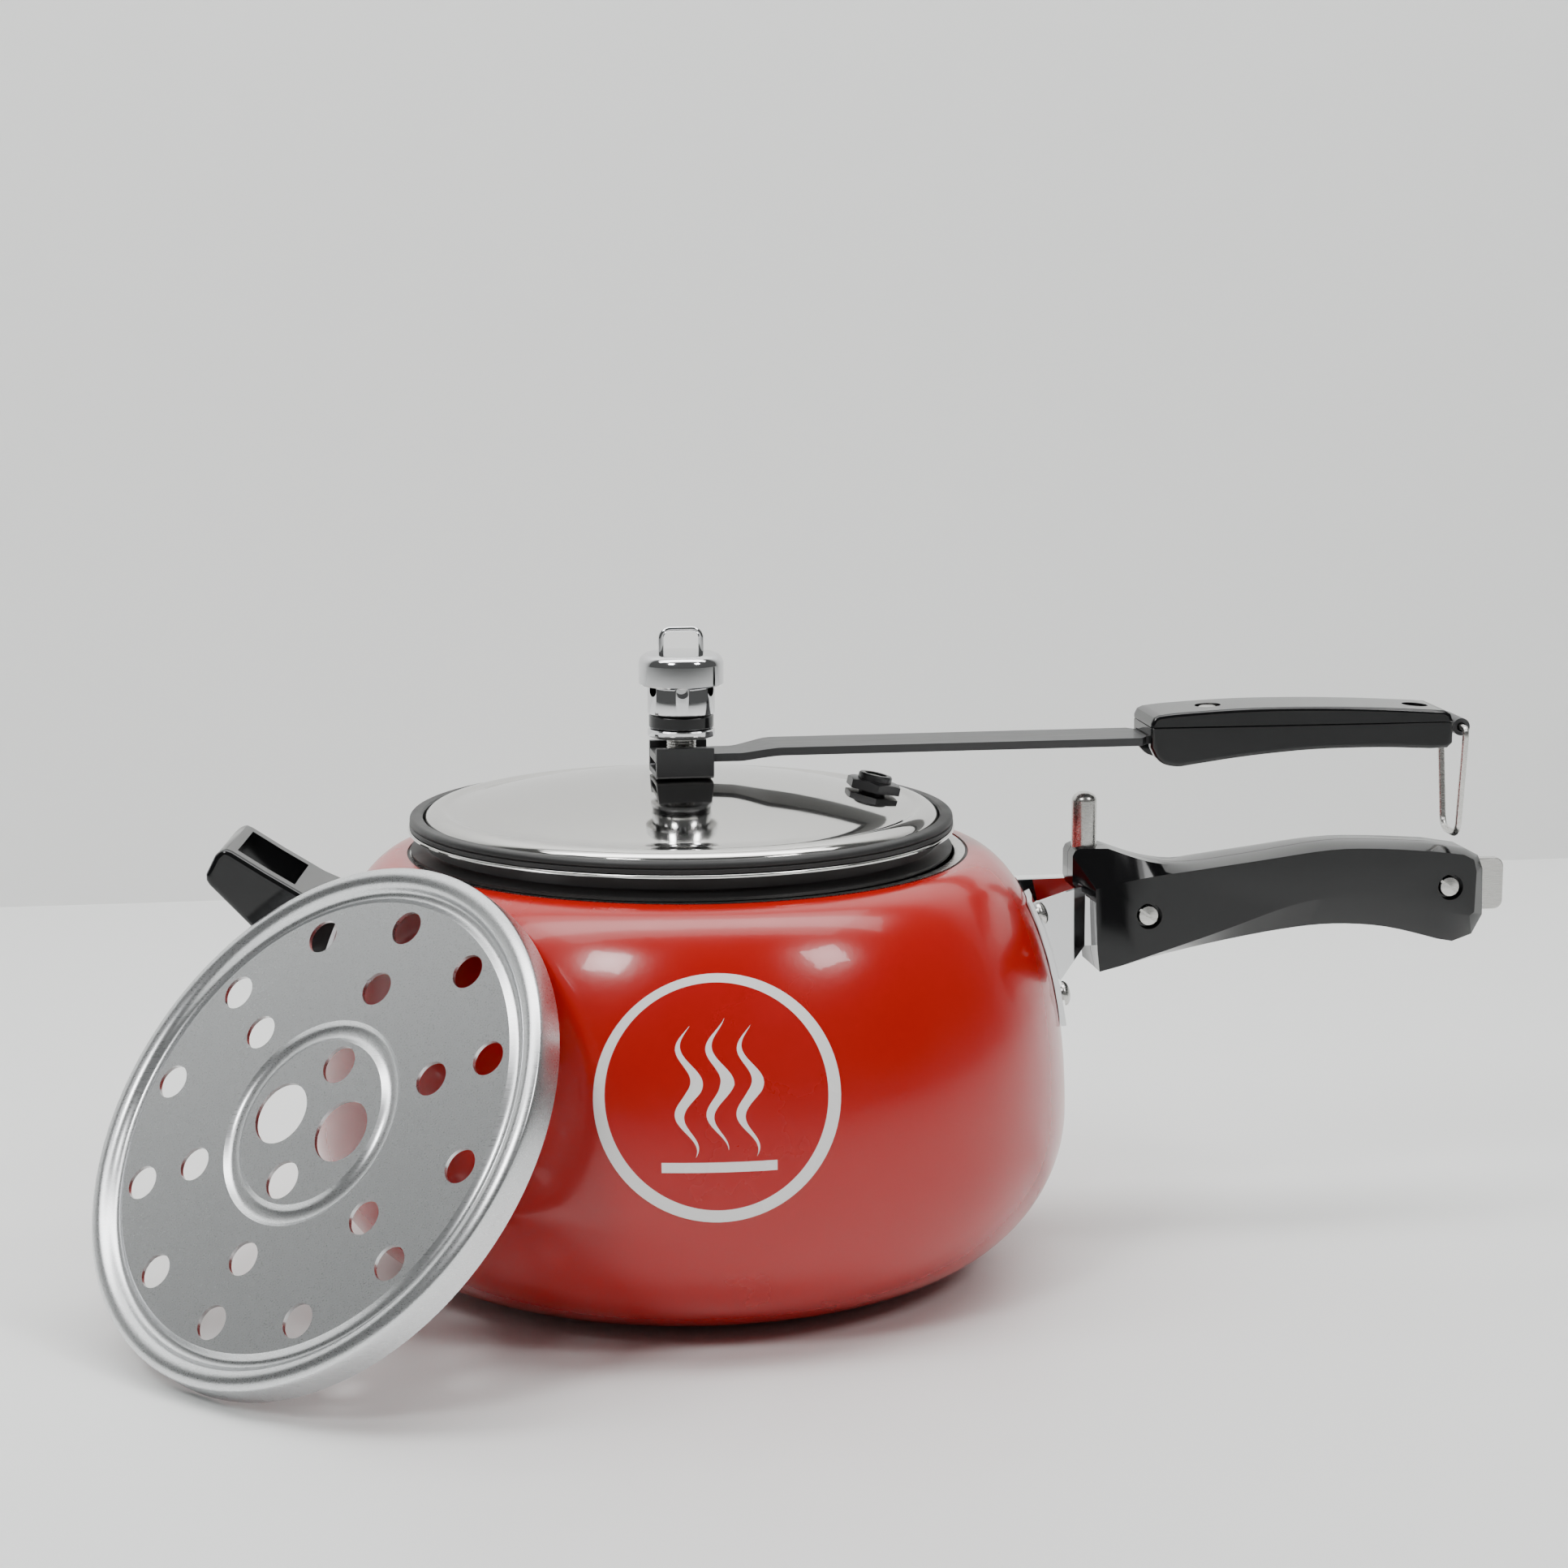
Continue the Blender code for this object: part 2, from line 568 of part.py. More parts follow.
def make_handle_screw(suffix, place, looks):
    """A slotted screw through the grip, and the nut on its far end."""
    head = -GRIP_WIDTH / 2.0 + RECESS_DEPTH
    tip = GRIP_WIDTH / 2.0 - GAP
    profile = [(0.0, -tip), (SCREW_SHANK_RADIUS, -tip), (SCREW_SHANK_RADIUS, -head + GAP),
               (SCREW_HEAD_RADIUS, -head + GAP),
               (SCREW_HEAD_RADIUS, -head + GAP + SCREW_HEAD_HEIGHT * 0.7),
               (SCREW_HEAD_RADIUS * 0.8, -head + GAP + SCREW_HEAD_HEIGHT),
               (0.0, -head + GAP + SCREW_HEAD_HEIGHT)]
    screw = turned(f"handle_screw_{suffix}", profile, looks["bright steel"], segments=SMALL_SEGMENTS)
    screw.location = (place[0], 0.0, place[1])
    screw.rotation_euler = (math.radians(90.0), 0.0, 0.0)
    slot_low = head - GAP - SCREW_HEAD_HEIGHT
    slot = block(f"screw slot {suffix}",
                 (place[0] - SCREW_HEAD_RADIUS * 2.0, slot_low - 2.0 * MM, place[1] - 0.5 * MM),
                 (place[0] + SCREW_HEAD_RADIUS * 2.0, slot_low + 0.9 * MM, place[1] + 0.5 * MM),
                 None)
    boolean(screw, slot)
    low = GRIP_WIDTH / 2.0 - RECESS_DEPTH + GAP
    bore = SCREW_SHANK_RADIUS + GAP
    nut = hex_nut(f"handle_nut_{suffix}", SCREW_NUT_ACROSS, bore, low, low + SCREW_NUT_HEIGHT,
                  looks["bright steel"])
    nut.location = (place[0], 0.0, place[1])
    nut.rotation_euler = (math.radians(-90.0), 0.0, 0.0)


def make_handle_bracket(side, name, looks, trim, rivets):
    """A sheet bracket: a flange riveted to the pot and an arm that enters the grip."""
    angles = [side * angle for angle in FLANGE_ANGLES]
    flange = shoulder_plate(f"{name} flange", angles, FLANGE_HEIGHTS, None)
    reach = shoulder(shoulder_angle(POT_HEIGHT - 36.0 * MM), 0.0)[0].x
    spin = math.radians(LANDING_ANGLE)
    landing = Vector((reach * math.cos(spin), reach * math.sin(spin)))
    elbow = Vector((POT_RADIUS + ARM_FRONT - 1.0 * MM, ARM_SPREAD))
    root = landing + (landing - elbow)
    path = [root, elbow, (POT_RADIUS + ARM_FRONT + 3.0 * MM, ARM_SPREAD),
            (POT_RADIUS + ARM_END, ARM_SPREAD)]
    lows = [POT_HEIGHT + z for z in (-66.0 * MM, ARM_LOW, ARM_LOW, ARM_LOW)]
    highs = [POT_HEIGHT + z for z in (-19.0 * MM, ARM_HIGH, ARM_HIGH, ARM_HIGH)]
    half = PLATE_SHEET / 2.0
    rings = []
    for (x, y), low, high in zip(path, lows, highs):
        rings.append([(x, side * (y - half), low), (x, side * (y + half), low),
                      (x, side * (y + half), high), (x, side * (y - half), high)])
    bracket = loft(name, rings, looks["chrome"])
    boolean(bracket, trim)
    boolean(bracket, flange, "UNION")
    drill_rivet_holes(bracket, rivets)
    x, z = SCREW_PLACES[0]
    boolean(bracket, rod("arm hole", SCREW_SHANK_RADIUS + GAP, (x, -GRIP_WIDTH, z),
                         (x, GRIP_WIDTH, z), segments=HOLE_SEGMENTS))


# ---------------------------------------------------------------- support handle
SUPPORT_OUTLINE = [(-x, z) for x, z in from_pot(
    [(-17.5, -39.0), (-17.5, -17.5), (-10.0, -15.5), (-2.0, -11.9), (11.0, -4.1), (21.5, 2.6),
     (24.8, 3.4), (27.4, 0.8), (30.0, -4.8), (29.4, -8.0), (14.4, -23.5), (3.0, -30.5),
     (-7.0, -37.0)])]
SUPPORT_TURN = math.radians(-9.6)   # round the pot, from straight opposite the long handle
TONGUE_TOP = -20.0 * MM     # from the mouth of the pot
SUPPORT_RIVETS = ((-47.0 * MM, 176.0), (-47.0 * MM, 184.0))
SUPPORT_FLANGE_ANGLES = (170.0, 190.0)
SUPPORT_FLANGE_HEIGHTS = (-55.0 * MM, -13.0 * MM)
SUPPORT_SCREW_X = 1.0 * MM
SUPPORT_SLOT_X = 12.5 * MM  # middle of the finger slot beyond the widest part of the pot
SUPPORT_SLOT_Z = -5.0 * MM  # and from the mouth of the pot
SUPPORT_SLOT_TILT = math.radians(31.0)


def make_support(looks, trim):
    """The short handle, its bracket and its screw, made on the X axis and then turned."""
    before = set(bpy.data.objects)
    handle = slab("support_handle", SUPPORT_OUTLINE, -SUPPORT_WIDTH / 2.0, SUPPORT_WIDTH / 2.0,
                  looks["black grip"])
    bevel(handle, 2.0 * MM)
    boolean(handle, trim)
    corner = Vector((SUPPORT_SLOT_LENGTH / 2.0, SUPPORT_SLOT_WIDTH / 2.0, SUPPORT_WIDTH))
    slot = block("finger slot", -corner, corner, None)
    slot.location = (-POT_RADIUS - SUPPORT_SLOT_X, 0.0, POT_HEIGHT + SUPPORT_SLOT_Z)
    slot.rotation_euler = (0.0, SUPPORT_SLOT_TILT, 0.0)
    boolean(handle, slot)

    high = POT_HEIGHT + TONGUE_TOP
    root = -(SHOULDER_RADIUS + 5.0 * MM)
    tip = -(POT_RADIUS - 8.0 * MM + TONGUE_LENGTH)
    tongue = block("support_bracket", (tip, -TONGUE_WIDTH / 2.0, high - TONGUE_SHEET),
                   (root, TONGUE_WIDTH / 2.0, high), looks["chrome"])
    boolean(tongue, pot_guide("tongue trim", GAP + PLATE_SHEET / 2.0))
    plate = shoulder_plate("support plate", SUPPORT_FLANGE_ANGLES, SUPPORT_FLANGE_HEIGHTS, None,
                           5, 5)
    boolean(tongue, plate, "UNION")
    socket = block("support socket",
                   (tip - GAP, -TONGUE_WIDTH / 2.0 - GAP, high - TONGUE_SHEET - GAP),
                   (root, TONGUE_WIDTH / 2.0 + GAP, high + GAP), None)
    boolean(handle, socket)
    drill_rivet_holes(tongue, [rivet_frame(POT_HEIGHT + height, angle)
                               for height, angle in SUPPORT_RIVETS])

    x = -POT_RADIUS - SUPPORT_SCREW_X
    base = POT_HEIGHT - 31.5 * MM
    seat = base + 4.0 * MM
    shaft = rod("support screw hole", SCREW_SHANK_RADIUS + GAP, (x, 0.0, base - 10.0 * MM),
                (x, 0.0, high + 2.0 * MM + GAP), segments=HOLE_SEGMENTS)
    boolean(tongue, shaft)
    boolean(handle, shaft)
    boolean(handle, rod("support recess", RECESS_RADIUS, (x, 0.0, base - 10.0 * MM),
                        (x, 0.0, seat), segments=SMALL_SEGMENTS))
    low = seat - GAP - SCREW_HEAD_HEIGHT
    profile = [(0.0, low), (SCREW_HEAD_RADIUS * 0.8, low), (SCREW_HEAD_RADIUS, low + 0.5 * MM),
               (SCREW_HEAD_RADIUS, seat - GAP), (SCREW_SHANK_RADIUS, seat - GAP),
               (SCREW_SHANK_RADIUS, high + 2.0 * MM), (0.0, high + 2.0 * MM)]
    screw = turned("support_screw", profile, looks["bright steel"], segments=SMALL_SEGMENTS)
    screw.location = (x, 0.0, 0.0)
    bpy.context.view_layer.update()
    spin = Matrix.Rotation(SUPPORT_TURN, 4, "Z")
    for item in set(bpy.data.objects) - before:
        item.matrix_world = spin @ item.matrix_world


# ---------------------------------------------------------------- lid
def dome(radius):
    """Height of the lid's dome at a distance from its centre."""
    fall = DOME_RISE - BEAD_RISE + 0.5 * MM
    return LID_TOP - fall * (radius / DOME_RADIUS) ** 2


def dome_slope(radius):
    fall = DOME_RISE - BEAD_RISE + 0.5 * MM
    return math.atan(2.0 * fall * radius / DOME_RADIUS ** 2)


def lid_top_row():
    """The upper side of the lid, from the vent hole out to the lip."""
    hole = STEM_RADIUS + GAP
    row = [(hole + (DOME_RADIUS - hole) * k / 4, dome(hole + (DOME_RADIUS - hole) * k / 4))
           for k in range(5)]
    edge = LIP_RADIUS - LIP_WIDTH
    row += [(edge - 0.62 * BEAD_WIDTH, LIP_Z + BEAD_RISE + 0.15 * MM),
            (edge - 0.3 * BEAD_WIDTH, LIP_Z + 0.9 * BEAD_RISE),
            (edge - 0.08 * BEAD_WIDTH, LIP_Z + 0.68 * BEAD_RISE),
            (edge, LIP_Z + 0.4 * BEAD_RISE), (edge, LIP_Z), (LIP_RADIUS, LIP_Z)]
    return row


def make_lid(looks, axis):
    top = lid_top_row()
    under = offset_row(top, LID_SHEET)
    under[0] = (top[0][0], top[0][1] - LID_SHEET)
    under[-1] = (LIP_RADIUS, LIP_Z - LID_SHEET)
    under[-2] = (LIP_RADIUS - LIP_WIDTH - LID_SHEET, LIP_Z - LID_SHEET)
    lid = turned("lid_plate", top + under[::-1], looks["mirror steel"], axis)
    place, turn = valve_frame()
    up = turn @ Vector((0.0, 0.0, 1.0))
    boolean(lid, rod("valve hole", VALVE_SHANK_RADIUS + GAP, place - up * 12.0 * MM,
                     place + up * 12.0 * MM, axis=axis, segments=SMALL_SEGMENTS))
    inner = LIP_RADIUS - LIP_WIDTH + GAP
    low = LIP_Z + GAP
    outer = inner + GASKET_WIDTH
    ring = [(inner, low), (outer, low)]
    ring += [(outer - 1.2 * MM + x, low + GASKET_HEIGHT - 1.2 * MM + z)
             for x, z in arc((0.0, 0.0), (1.2 * MM, 1.2 * MM), 0.0, 90.0, 2)]
    ring += [(outer - 1.2 * MM, low + GASKET_HEIGHT), (inner, low + GASKET_HEIGHT)]
    turned("gasket", ring, looks["rubber"], axis)

    roof = LIP_Z - LID_SHEET - GAP
    rim = MOUTH_RADIUS - 2.0 * GAP - abs(LID_SHIFT)
    wide = LIP_RADIUS - 0.7 * MM
    seat = POT_HEIGHT + GAP
    low = POT_HEIGHT - REST_RING_DEPTH
    core = rim - REST_RING_WALL
    turned("rest_ring", [(core, low), (rim, low), (rim, seat), (wide, seat),
                         (wide, seat + 1.0 * MM), (rim - 1.0 * MM, seat + 2.0 * MM),
                         (rim - 1.0 * MM, roof), (core, roof)], looks["rubber"], axis)


def make_lid_bracket(looks, axis):
    """A channel across the lid, open along the bar, held by the vent."""
    low = LID_TOP + GAP
    half = BRACKET_WIDTH / 2.0
    rows = [(-half, low), (half, low), (half, low + BRACKET_HEIGHT),
            (half - BRACKET_SHEET, low + BRACKET_HEIGHT), (half - BRACKET_SHEET, low + BRACKET_SHEET),
            (-half + BRACKET_SHEET, low + BRACKET_SHEET), (-half + BRACKET_SHEET, low + BRACKET_HEIGHT),
            (-half, low + BRACKET_HEIGHT)]
    ends = (-BRACKET_LENGTH / 2.0, BRACKET_LENGTH / 2.0)
    channel = loft("lid_bracket", [[(x, y, z) for y, z in rows] for x in ends], looks["dark steel"],
                   axis)
    boolean(channel, rod("bracket hole", STEM_RADIUS + GAP, (0.0, 0.0, low - 5.0 * MM),
                         (0.0, 0.0, low + 5.0 * MM), axis=axis, segments=SMALL_SEGMENTS))


def make_vent(looks, axis):
    """The vent stem, the nut that clamps the bracket and the collar above the bar."""
    under = dome(FLANGE_RADIUS) - LID_SHEET - GAP
    foot = under - FLANGE_HEIGHT
    tip = WEIGHT_LOW + BASE_RING_HEIGHT
    stem = [(STEM_BORE, foot), (FLANGE_RADIUS, foot), (FLANGE_RADIUS, under), (STEM_RADIUS, under),
            (STEM_RADIUS, WEIGHT_LOW), (STEM_RADIUS * 0.8, tip), (STEM_BORE, tip)]
    turned("vent_stem", stem, looks["bright steel"], axis, segments=SMALL_SEGMENTS)
    bore = STEM_RADIUS + GAP
    low = LID_TOP + GAP + BRACKET_SHEET + GAP
    high = BAR_LOW - 2.0 * GAP
    hex_nut("vent_nut", VENT_NUT_ACROSS, bore, low, high, looks["bright steel"], axis)
    groove = 0.4 * MM
    ring = [(bore, COLLAR_LOW), (COLLAR_RADIUS, COLLAR_LOW)]
    for share in (0.35, 0.65):
        level = COLLAR_LOW + COLLAR_HEIGHT * share
        ring += [(COLLAR_RADIUS, level - groove), (COLLAR_RADIUS - groove, level),
                 (COLLAR_RADIUS, level + groove)]
    ring += [(COLLAR_RADIUS, COLLAR_LOW + COLLAR_HEIGHT), (bore, COLLAR_LOW + COLLAR_HEIGHT)]
    turned("vent_collar", ring, looks["bright steel"], axis, segments=WEIGHT_SEGMENTS)


def valve_frame():
    """Where the safety valve stands on the dome, and how it is tilted."""
    turn = Matrix.Rotation(dome_slope(VALVE_REACH), 3, "Y")
    return Vector((VALVE_REACH, 0.0, dome(VALVE_REACH))), turn


def make_safety_valve(looks, axis):
    place, turn = valve_frame()
    corner = VALVE_ACROSS / math.sqrt(3.0)
    low = SLACK
    foot = -8.0 * MM
    head = turned("safety_valve", [(0.0, foot), (VALVE_SHANK_RADIUS, foot),
                                   (VALVE_SHANK_RADIUS, low + 0.5 * MM), (0.0, low + 0.5 * MM)],
                  looks["dark steel"], axis, segments=SMALL_SEGMENTS)
    hexagon = turned("valve hexagon", [(0.0, low), (corner, low), (corner, low + VALVE_HEIGHT * 0.8),
                                       (corner * 0.93, low + VALVE_HEIGHT),
                                       (0.0, low + VALVE_HEIGHT)], None, axis, segments=6)
    top = low + VALVE_HEIGHT + VALVE_COLLAR_HEIGHT
    collar = turned("valve collar", [(0.0, low + 1.0 * MM), (VALVE_COLLAR_RADIUS, low + 1.0 * MM),
                                     (VALVE_COLLAR_RADIUS, top), (0.0, top)], None, axis,
                    segments=WEIGHT_SEGMENTS)
    pit = turned("valve pit", [(0.0, top - 2.2 * MM), (PLUG_RADIUS + GAP, top - 2.2 * MM),
                               (PLUG_RADIUS + GAP, top + 2.0 * MM), (0.0, top + 2.0 * MM)],
                 None, axis, segments=SMALL_SEGMENTS)
    boolean(head, hexagon, "UNION")
    boolean(head, collar, "UNION")
    boolean(head, pit)
    plug = turned("safety_plug", [(0.0, top - 2.2 * MM + GAP), (PLUG_RADIUS, top - 2.2 * MM + GAP),
                                  (PLUG_RADIUS, top - 0.8 * MM), (0.0, top - 0.5 * MM)],
                  looks["dull alloy"], axis, segments=SMALL_SEGMENTS)
    bore = VALVE_SHANK_RADIUS + GAP
    high = -LID_SHEET - SLACK - 0.4 * MM
    nut = hex_nut("safety_nut", VALVE_NUT_ACROSS, bore, high - VALVE_HEIGHT, high,
                  looks["dark steel"], axis)
    for piece in (head, hexagon, collar, pit, plug, nut):
        piece.location = place
        piece.rotation_euler = turn.to_euler()


# ---------------------------------------------------------------- bar and latch
LID_GRIP_OUTLINE = [(LID_REACH + x * MM, BAR_LOW + z * MM) for x, z in (
    [(27.7, 1.5), (27.7, 9.3), (28.6, 11.2), (30.3, 12.0)]
    + smooth_row([(38.9, 12.8), (60.6, 13.7), (82.5, 13.6), (104.4, 12.8), (126.6, 11.4)], 2)
    + [(128.6, 10.2), (129.5, 8.0), (129.5, 0.6), (127.7, -1.1)]
    + smooth_row([(122.0, -1.2), (104.5, -0.4), (82.5, -0.5), (60.7, -2.1), (42.2, -4.4)], 2)
    + [(36.8, -5.0), (32.0, -4.0), (29.2, -1.6)])]
LID_SCREWS = ((49.5, 11.2), (120.0, 8.2))   # beyond the pot, recess floor above the bar


def make_bar(looks, axis):
    """A steel strip that joggles up from the bracket and ends in an eye for the latch."""
    tang_start = LID_REACH + 25.0 * MM
    eye_x = LID_REACH + LATCH_X
    stations = [(-BRACKET_LENGTH / 2.0, BEND_Z[0], BAR_END_WIDTH),
                (BRACKET_LENGTH / 2.0 + 4.0 * MM, BEND_Z[0], BAR_END_WIDTH),
                (30.0 * MM, BEND_Z[1], BAR_WIDTH), (tang_start, BEND_Z[2], BAR_WIDTH),
                (tang_start + 3.0 * MM, BEND_Z[2], TANG_WIDTH),
                (eye_x, BEND_Z[3], TANG_WIDTH)]
    rings = []
    for x, low, width in stations:
        half = width / 2.0
        rings.append([(x, -half, low), (x, half, low), (x, half, low + BAR_SHEET),
                      (x, -half, low + BAR_SHEET)])
    bar = loft("lid_bar", rings, looks["dark steel"], axis)
    tang = TANG_WIDTH / 2.0
    boolean(bar, rod("bar eye", EYE_RADIUS, (eye_x, -tang, EYE_Z), (eye_x, tang, EYE_Z),
                     axis=axis), "UNION")
    boolean(bar, rod("eye bore", EYE_BORE, (eye_x, -2.0 * tang, EYE_Z), (eye_x, 2.0 * tang, EYE_Z),
                     axis=axis, segments=SMALL_SEGMENTS))
    boolean(bar, rod("bar vent hole", STEM_RADIUS + 3.0 * GAP, (0.0, 0.0, BAR_LOW - 5.0 * MM),
                     (0.0, 0.0, BAR_LOW + 8.0 * MM), axis=axis))
    return bar


def make_lid_grip(looks, axis, bar):
    grip = slab("lid_handle", LID_GRIP_OUTLINE, -LID_GRIP_WIDTH / 2.0, LID_GRIP_WIDTH / 2.0,
                looks["black grip"], axis)
    bevel(grip, 1.4 * MM)
    start = LID_REACH + 20.0 * MM
    end = LID_REACH + LATCH_X
    room = BAR_SHEET + GAP
    channel = slab("bar channel", [(start, BAR_LOW - 20.0 * MM), (start, BEND_Z[2] + room),
                                   (start + 10.0 * MM, BEND_Z[2] + room),
                                   (end, BEND_Z[3] + room), (end, BAR_LOW - 20.0 * MM)],
                   -TANG_WIDTH / 2.0 - GAP, TANG_WIDTH / 2.0 + GAP, None, axis)
    boolean(grip, channel)
    for k, (reach, floor) in enumerate(LID_SCREWS):
        x = LID_REACH + reach * MM
        floor = BAR_LOW + floor * MM
        shaft = rod(f"lid screw hole {k}", SCREW_SHANK_RADIUS + GAP, (x, 0.0, BAR_LOW - 8.0 * MM),
                    (x, 0.0, BAR_LOW + 25.0 * MM), axis=axis, segments=HOLE_SEGMENTS)
        boolean(grip, shaft)
        boolean(bar, shaft)
        boolean(grip, rod(f"lid screw recess {k}", RECESS_RADIUS, (x, 0.0, floor),
                          (x, 0.0, BAR_LOW + 25.0 * MM), axis=axis))
        tip = BAR_LOW - 1.0 * MM
        seat = floor + GAP
        screw = turned(f"lid_handle_screw_{('near', 'far')[k]}",
                       [(0.0, tip), (SCREW_SHANK_RADIUS, tip), (SCREW_SHANK_RADIUS, seat),
                        (SCREW_HEAD_RADIUS, seat), (SCREW_HEAD_RADIUS, seat + 1.0 * MM),
                        (SCREW_HEAD_RADIUS * 0.75, seat + 1.5 * MM), (0.0, seat + 1.5 * MM)],
                       looks["bright steel"], axis, segments=SMALL_SEGMENTS)
        screw.location = (x, 0.0, 0.0)


def make_latch(looks, axis):
    """A wire loop that hangs from the eye and hooks under the catch of the body handle."""
    x = LID_REACH + LATCH_X
    top = LATCH_TOP_WIDTH / 2.0
    foot = LATCH_FOOT_WIDTH / 2.0
    bend = 5.0 * MM
    low = EYE_Z - LATCH_DROP
    side = [(top, EYE_Z - 0.9 * MM)]
    side += [(foot - bend + y, low + bend + z)
             for y, z in arc((0.0, 0.0), (bend, bend), 0.0, -90.0, 4)]
    right = [(x, y, z) for y, z in side] + [(x, foot - bend, low)]
    left = [(x, -y, z) for _, y, z in right[::-1]]
    crown = [(x, -top + 1.0 * MM, EYE_Z), (x, top - 1.0 * MM, EYE_Z)]
    wire("latch_loop", right + left + crown, LATCH_WIRE, looks["bright steel"], axis, True)


# ---------------------------------------------------------------- regulator weight
def make_weight(looks, axis):
    level = WEIGHT_LOW
    bore = WEIGHT_BORE
    groove = 0.5 * MM
    turned("weight_base", [(bore, level), (WEIGHT_RADIUS - groove, level),
                           (WEIGHT_RADIUS, level + groove), (WEIGHT_RADIUS, level + BASE_RING_HEIGHT),
                           (bore, level + BASE_RING_HEIGHT)], looks["chrome"], axis,
           segments=WEIGHT_SEGMENTS)
    level += BASE_RING_HEIGHT + GAP
    turned("weight_band", [(bore, level), (BAND_RADIUS, level), (BAND_RADIUS, level + BAND_HEIGHT),
                           (bore, level + BAND_HEIGHT)], looks["rubber"], axis, segments=WEIGHT_SEGMENTS)
    seat = level + 1.0 * MM
    level += BAND_HEIGHT + GAP
    turned("weight_barrel", [(bore, level), (WEIGHT_RADIUS, level),
                             (WEIGHT_RADIUS, level + BARREL_HEIGHT * 0.8),
                             (WEIGHT_RADIUS - 1.2 * MM, level + BARREL_HEIGHT),
                             (bore, level + BARREL_HEIGHT)], looks["chrome"], axis,
           segments=WEIGHT_SEGMENTS)
    level += BARREL_HEIGHT + GAP
    skirt = 1.5 * MM
    cap = [(0.0, level), (CAP_RADIUS - skirt, level), (CAP_RADIUS - skirt, level - skirt),
           (CAP_RADIUS, level - skirt)]
    round_over = 3.2 * MM
    cap += [(CAP_RADIUS - round_over + x, level + CAP_HEIGHT - round_over + z)
            for x, z in arc((0.0, 0.0), (round_over, round_over), 0.0, 90.0, 5)]
    cap += [(CAP_RADIUS - round_over, level + CAP_HEIGHT), (0.0, level + CAP_HEIGHT + 0.4 * MM)]
    cap = turned("weight_cap", cap, looks["chrome"], axis, segments=WEIGHT_SEGMENTS)
    needle_top = level - GAP
    neck = bore - 1.6 * MM
    turned("weight_needle", [(0.0, seat), (neck, seat + 2.5 * MM), (neck, needle_top),
                             (0.0, needle_top)], looks["bright steel"], axis, segments=SMALL_SEGMENTS)

    half = WEIGHT_LOOP_WIDTH / 2.0
    foot = level + CAP_HEIGHT - 3.0 * MM
    crown = level + CAP_HEIGHT + WEIGHT_LOOP_HEIGHT
    bend = WEIGHT_LOOP_BEND
    side = [(half, foot), (half, crown - bend)]
    side += [(half - bend + y, crown - bend + z)
             for y, z in arc((0.0, 0.0), (bend, bend), 22.5, 90.0, 3)]
    right = [(y, 0.0, z) for y, z in side] + [(half - bend, 0.0, crown)]
    left = [(-y, 0.0, z) for y, _, z in right[::-1]]
    wire("weight_loop", right + left, WEIGHT_WIRE, looks["chrome"], axis, False)
    for side in (-1.0, 1.0):
        boolean(cap, rod(f"loop socket {side:+.0f}", WEIGHT_WIRE + GAP, (side * half, 0.0, foot - GAP),
                         (side * half, 0.0, crown), axis=axis, segments=HOLE_SEGMENTS))


# ---------------------------------------------------------------- cooking grid
def grid_frame():
    """The centre of the grid's open side and its turn, leaning on the pot's shoulder."""
    face = Vector((math.sin(GRID_TILT) * math.cos(GRID_TURN),
                   math.sin(GRID_TILT) * math.sin(GRID_TURN), math.cos(GRID_TILT)))
    across = (POT_RADIUS - SHOULDER_RADIUS) * math.sin(GRID_TILT)
    rise = (POT_HEIGHT - BELLY_HEIGHT) * math.cos(GRID_TILT)
    reach = (SHOULDER_RADIUS * math.sin(GRID_TILT) + math.hypot(across, rise)
             + BELLY_HEIGHT * math.cos(GRID_TILT) + SLACK)
    height = GRID_RADIUS * math.sin(GRID_TILT) + GAP
    distance = (reach - height * math.cos(GRID_TILT)) / math.sin(GRID_TILT)
    slip = Vector((-math.sin(GRID_TURN), math.cos(GRID_TURN), 0.0)) * GRID_SLIP
    center = Vector((distance * math.cos(GRID_TURN), distance * math.sin(GRID_TURN), height)) + slip
    turn = Matrix.Rotation(GRID_TURN, 3, "Z") @ Matrix.Rotation(GRID_TILT, 3, "Y")
    return center, turn @ Matrix.Rotation(GRID_SPIN, 3, "Z")


def grid_profile():
    """The front of the grid, from the rim of its skirt in to the centre."""
    crown = GRID_DEPTH
    flat = crown - 2.2 * MM
    channel = flat - 1.4 * MM
    rim = GRID_RADIUS
    row = [(rim, 0.0), (rim, crown - 2.4 * MM), (rim - 1.2 * MM, crown - 0.5 * MM),
           (rim - 3.4 * MM, crown), (rim - 5.8 * MM, crown - 0.9 * MM),
           (rim - 8.0 * MM, channel), (rim - 9.8 * MM, channel), (rim - 11.4 * MM, flat)]
    row += [(33.0 * MM, flat), (31.2 * MM, channel), (28.4 * MM, channel), (26.6 * MM, flat),
            (0.0, flat)]
    return row, flat


def make_grid(looks, axis, center, turn):
    front, flat = grid_profile()
    back = offset_row(front, -GRID_SHEET)
    back[0] = (front[0][0] - GRID_SHEET, 0.0)
    back[-1] = (0.0, flat - GRID_SHEET)
    grid = turned("grid_plate", front[::-1] + back, looks["brushed aluminium"], axis)
    grid.location = center
    grid.rotation_euler = turn.to_euler()
    for count, ring, radius, start in ((*OUTER_HOLES, 0.0), (*MIDDLE_HOLES, 0.0),
                                       (*SMALL_HOLES, 0.0), (*LARGE_HOLES, 90.0)):
        for k in range(count):
            angle = 2.0 * math.pi * k / count + math.radians(start)
            x, y = ring * math.cos(angle), ring * math.sin(angle)
            hole = rod(f"grid hole {ring:.3f} {k}", radius, (x, y, -0.01), (x, y, 0.03), axis=axis,
                       segments=HOLE_SEGMENTS)
            hole.location = center
            hole.rotation_euler = turn.to_euler()
            boolean(grid, hole)
    return grid


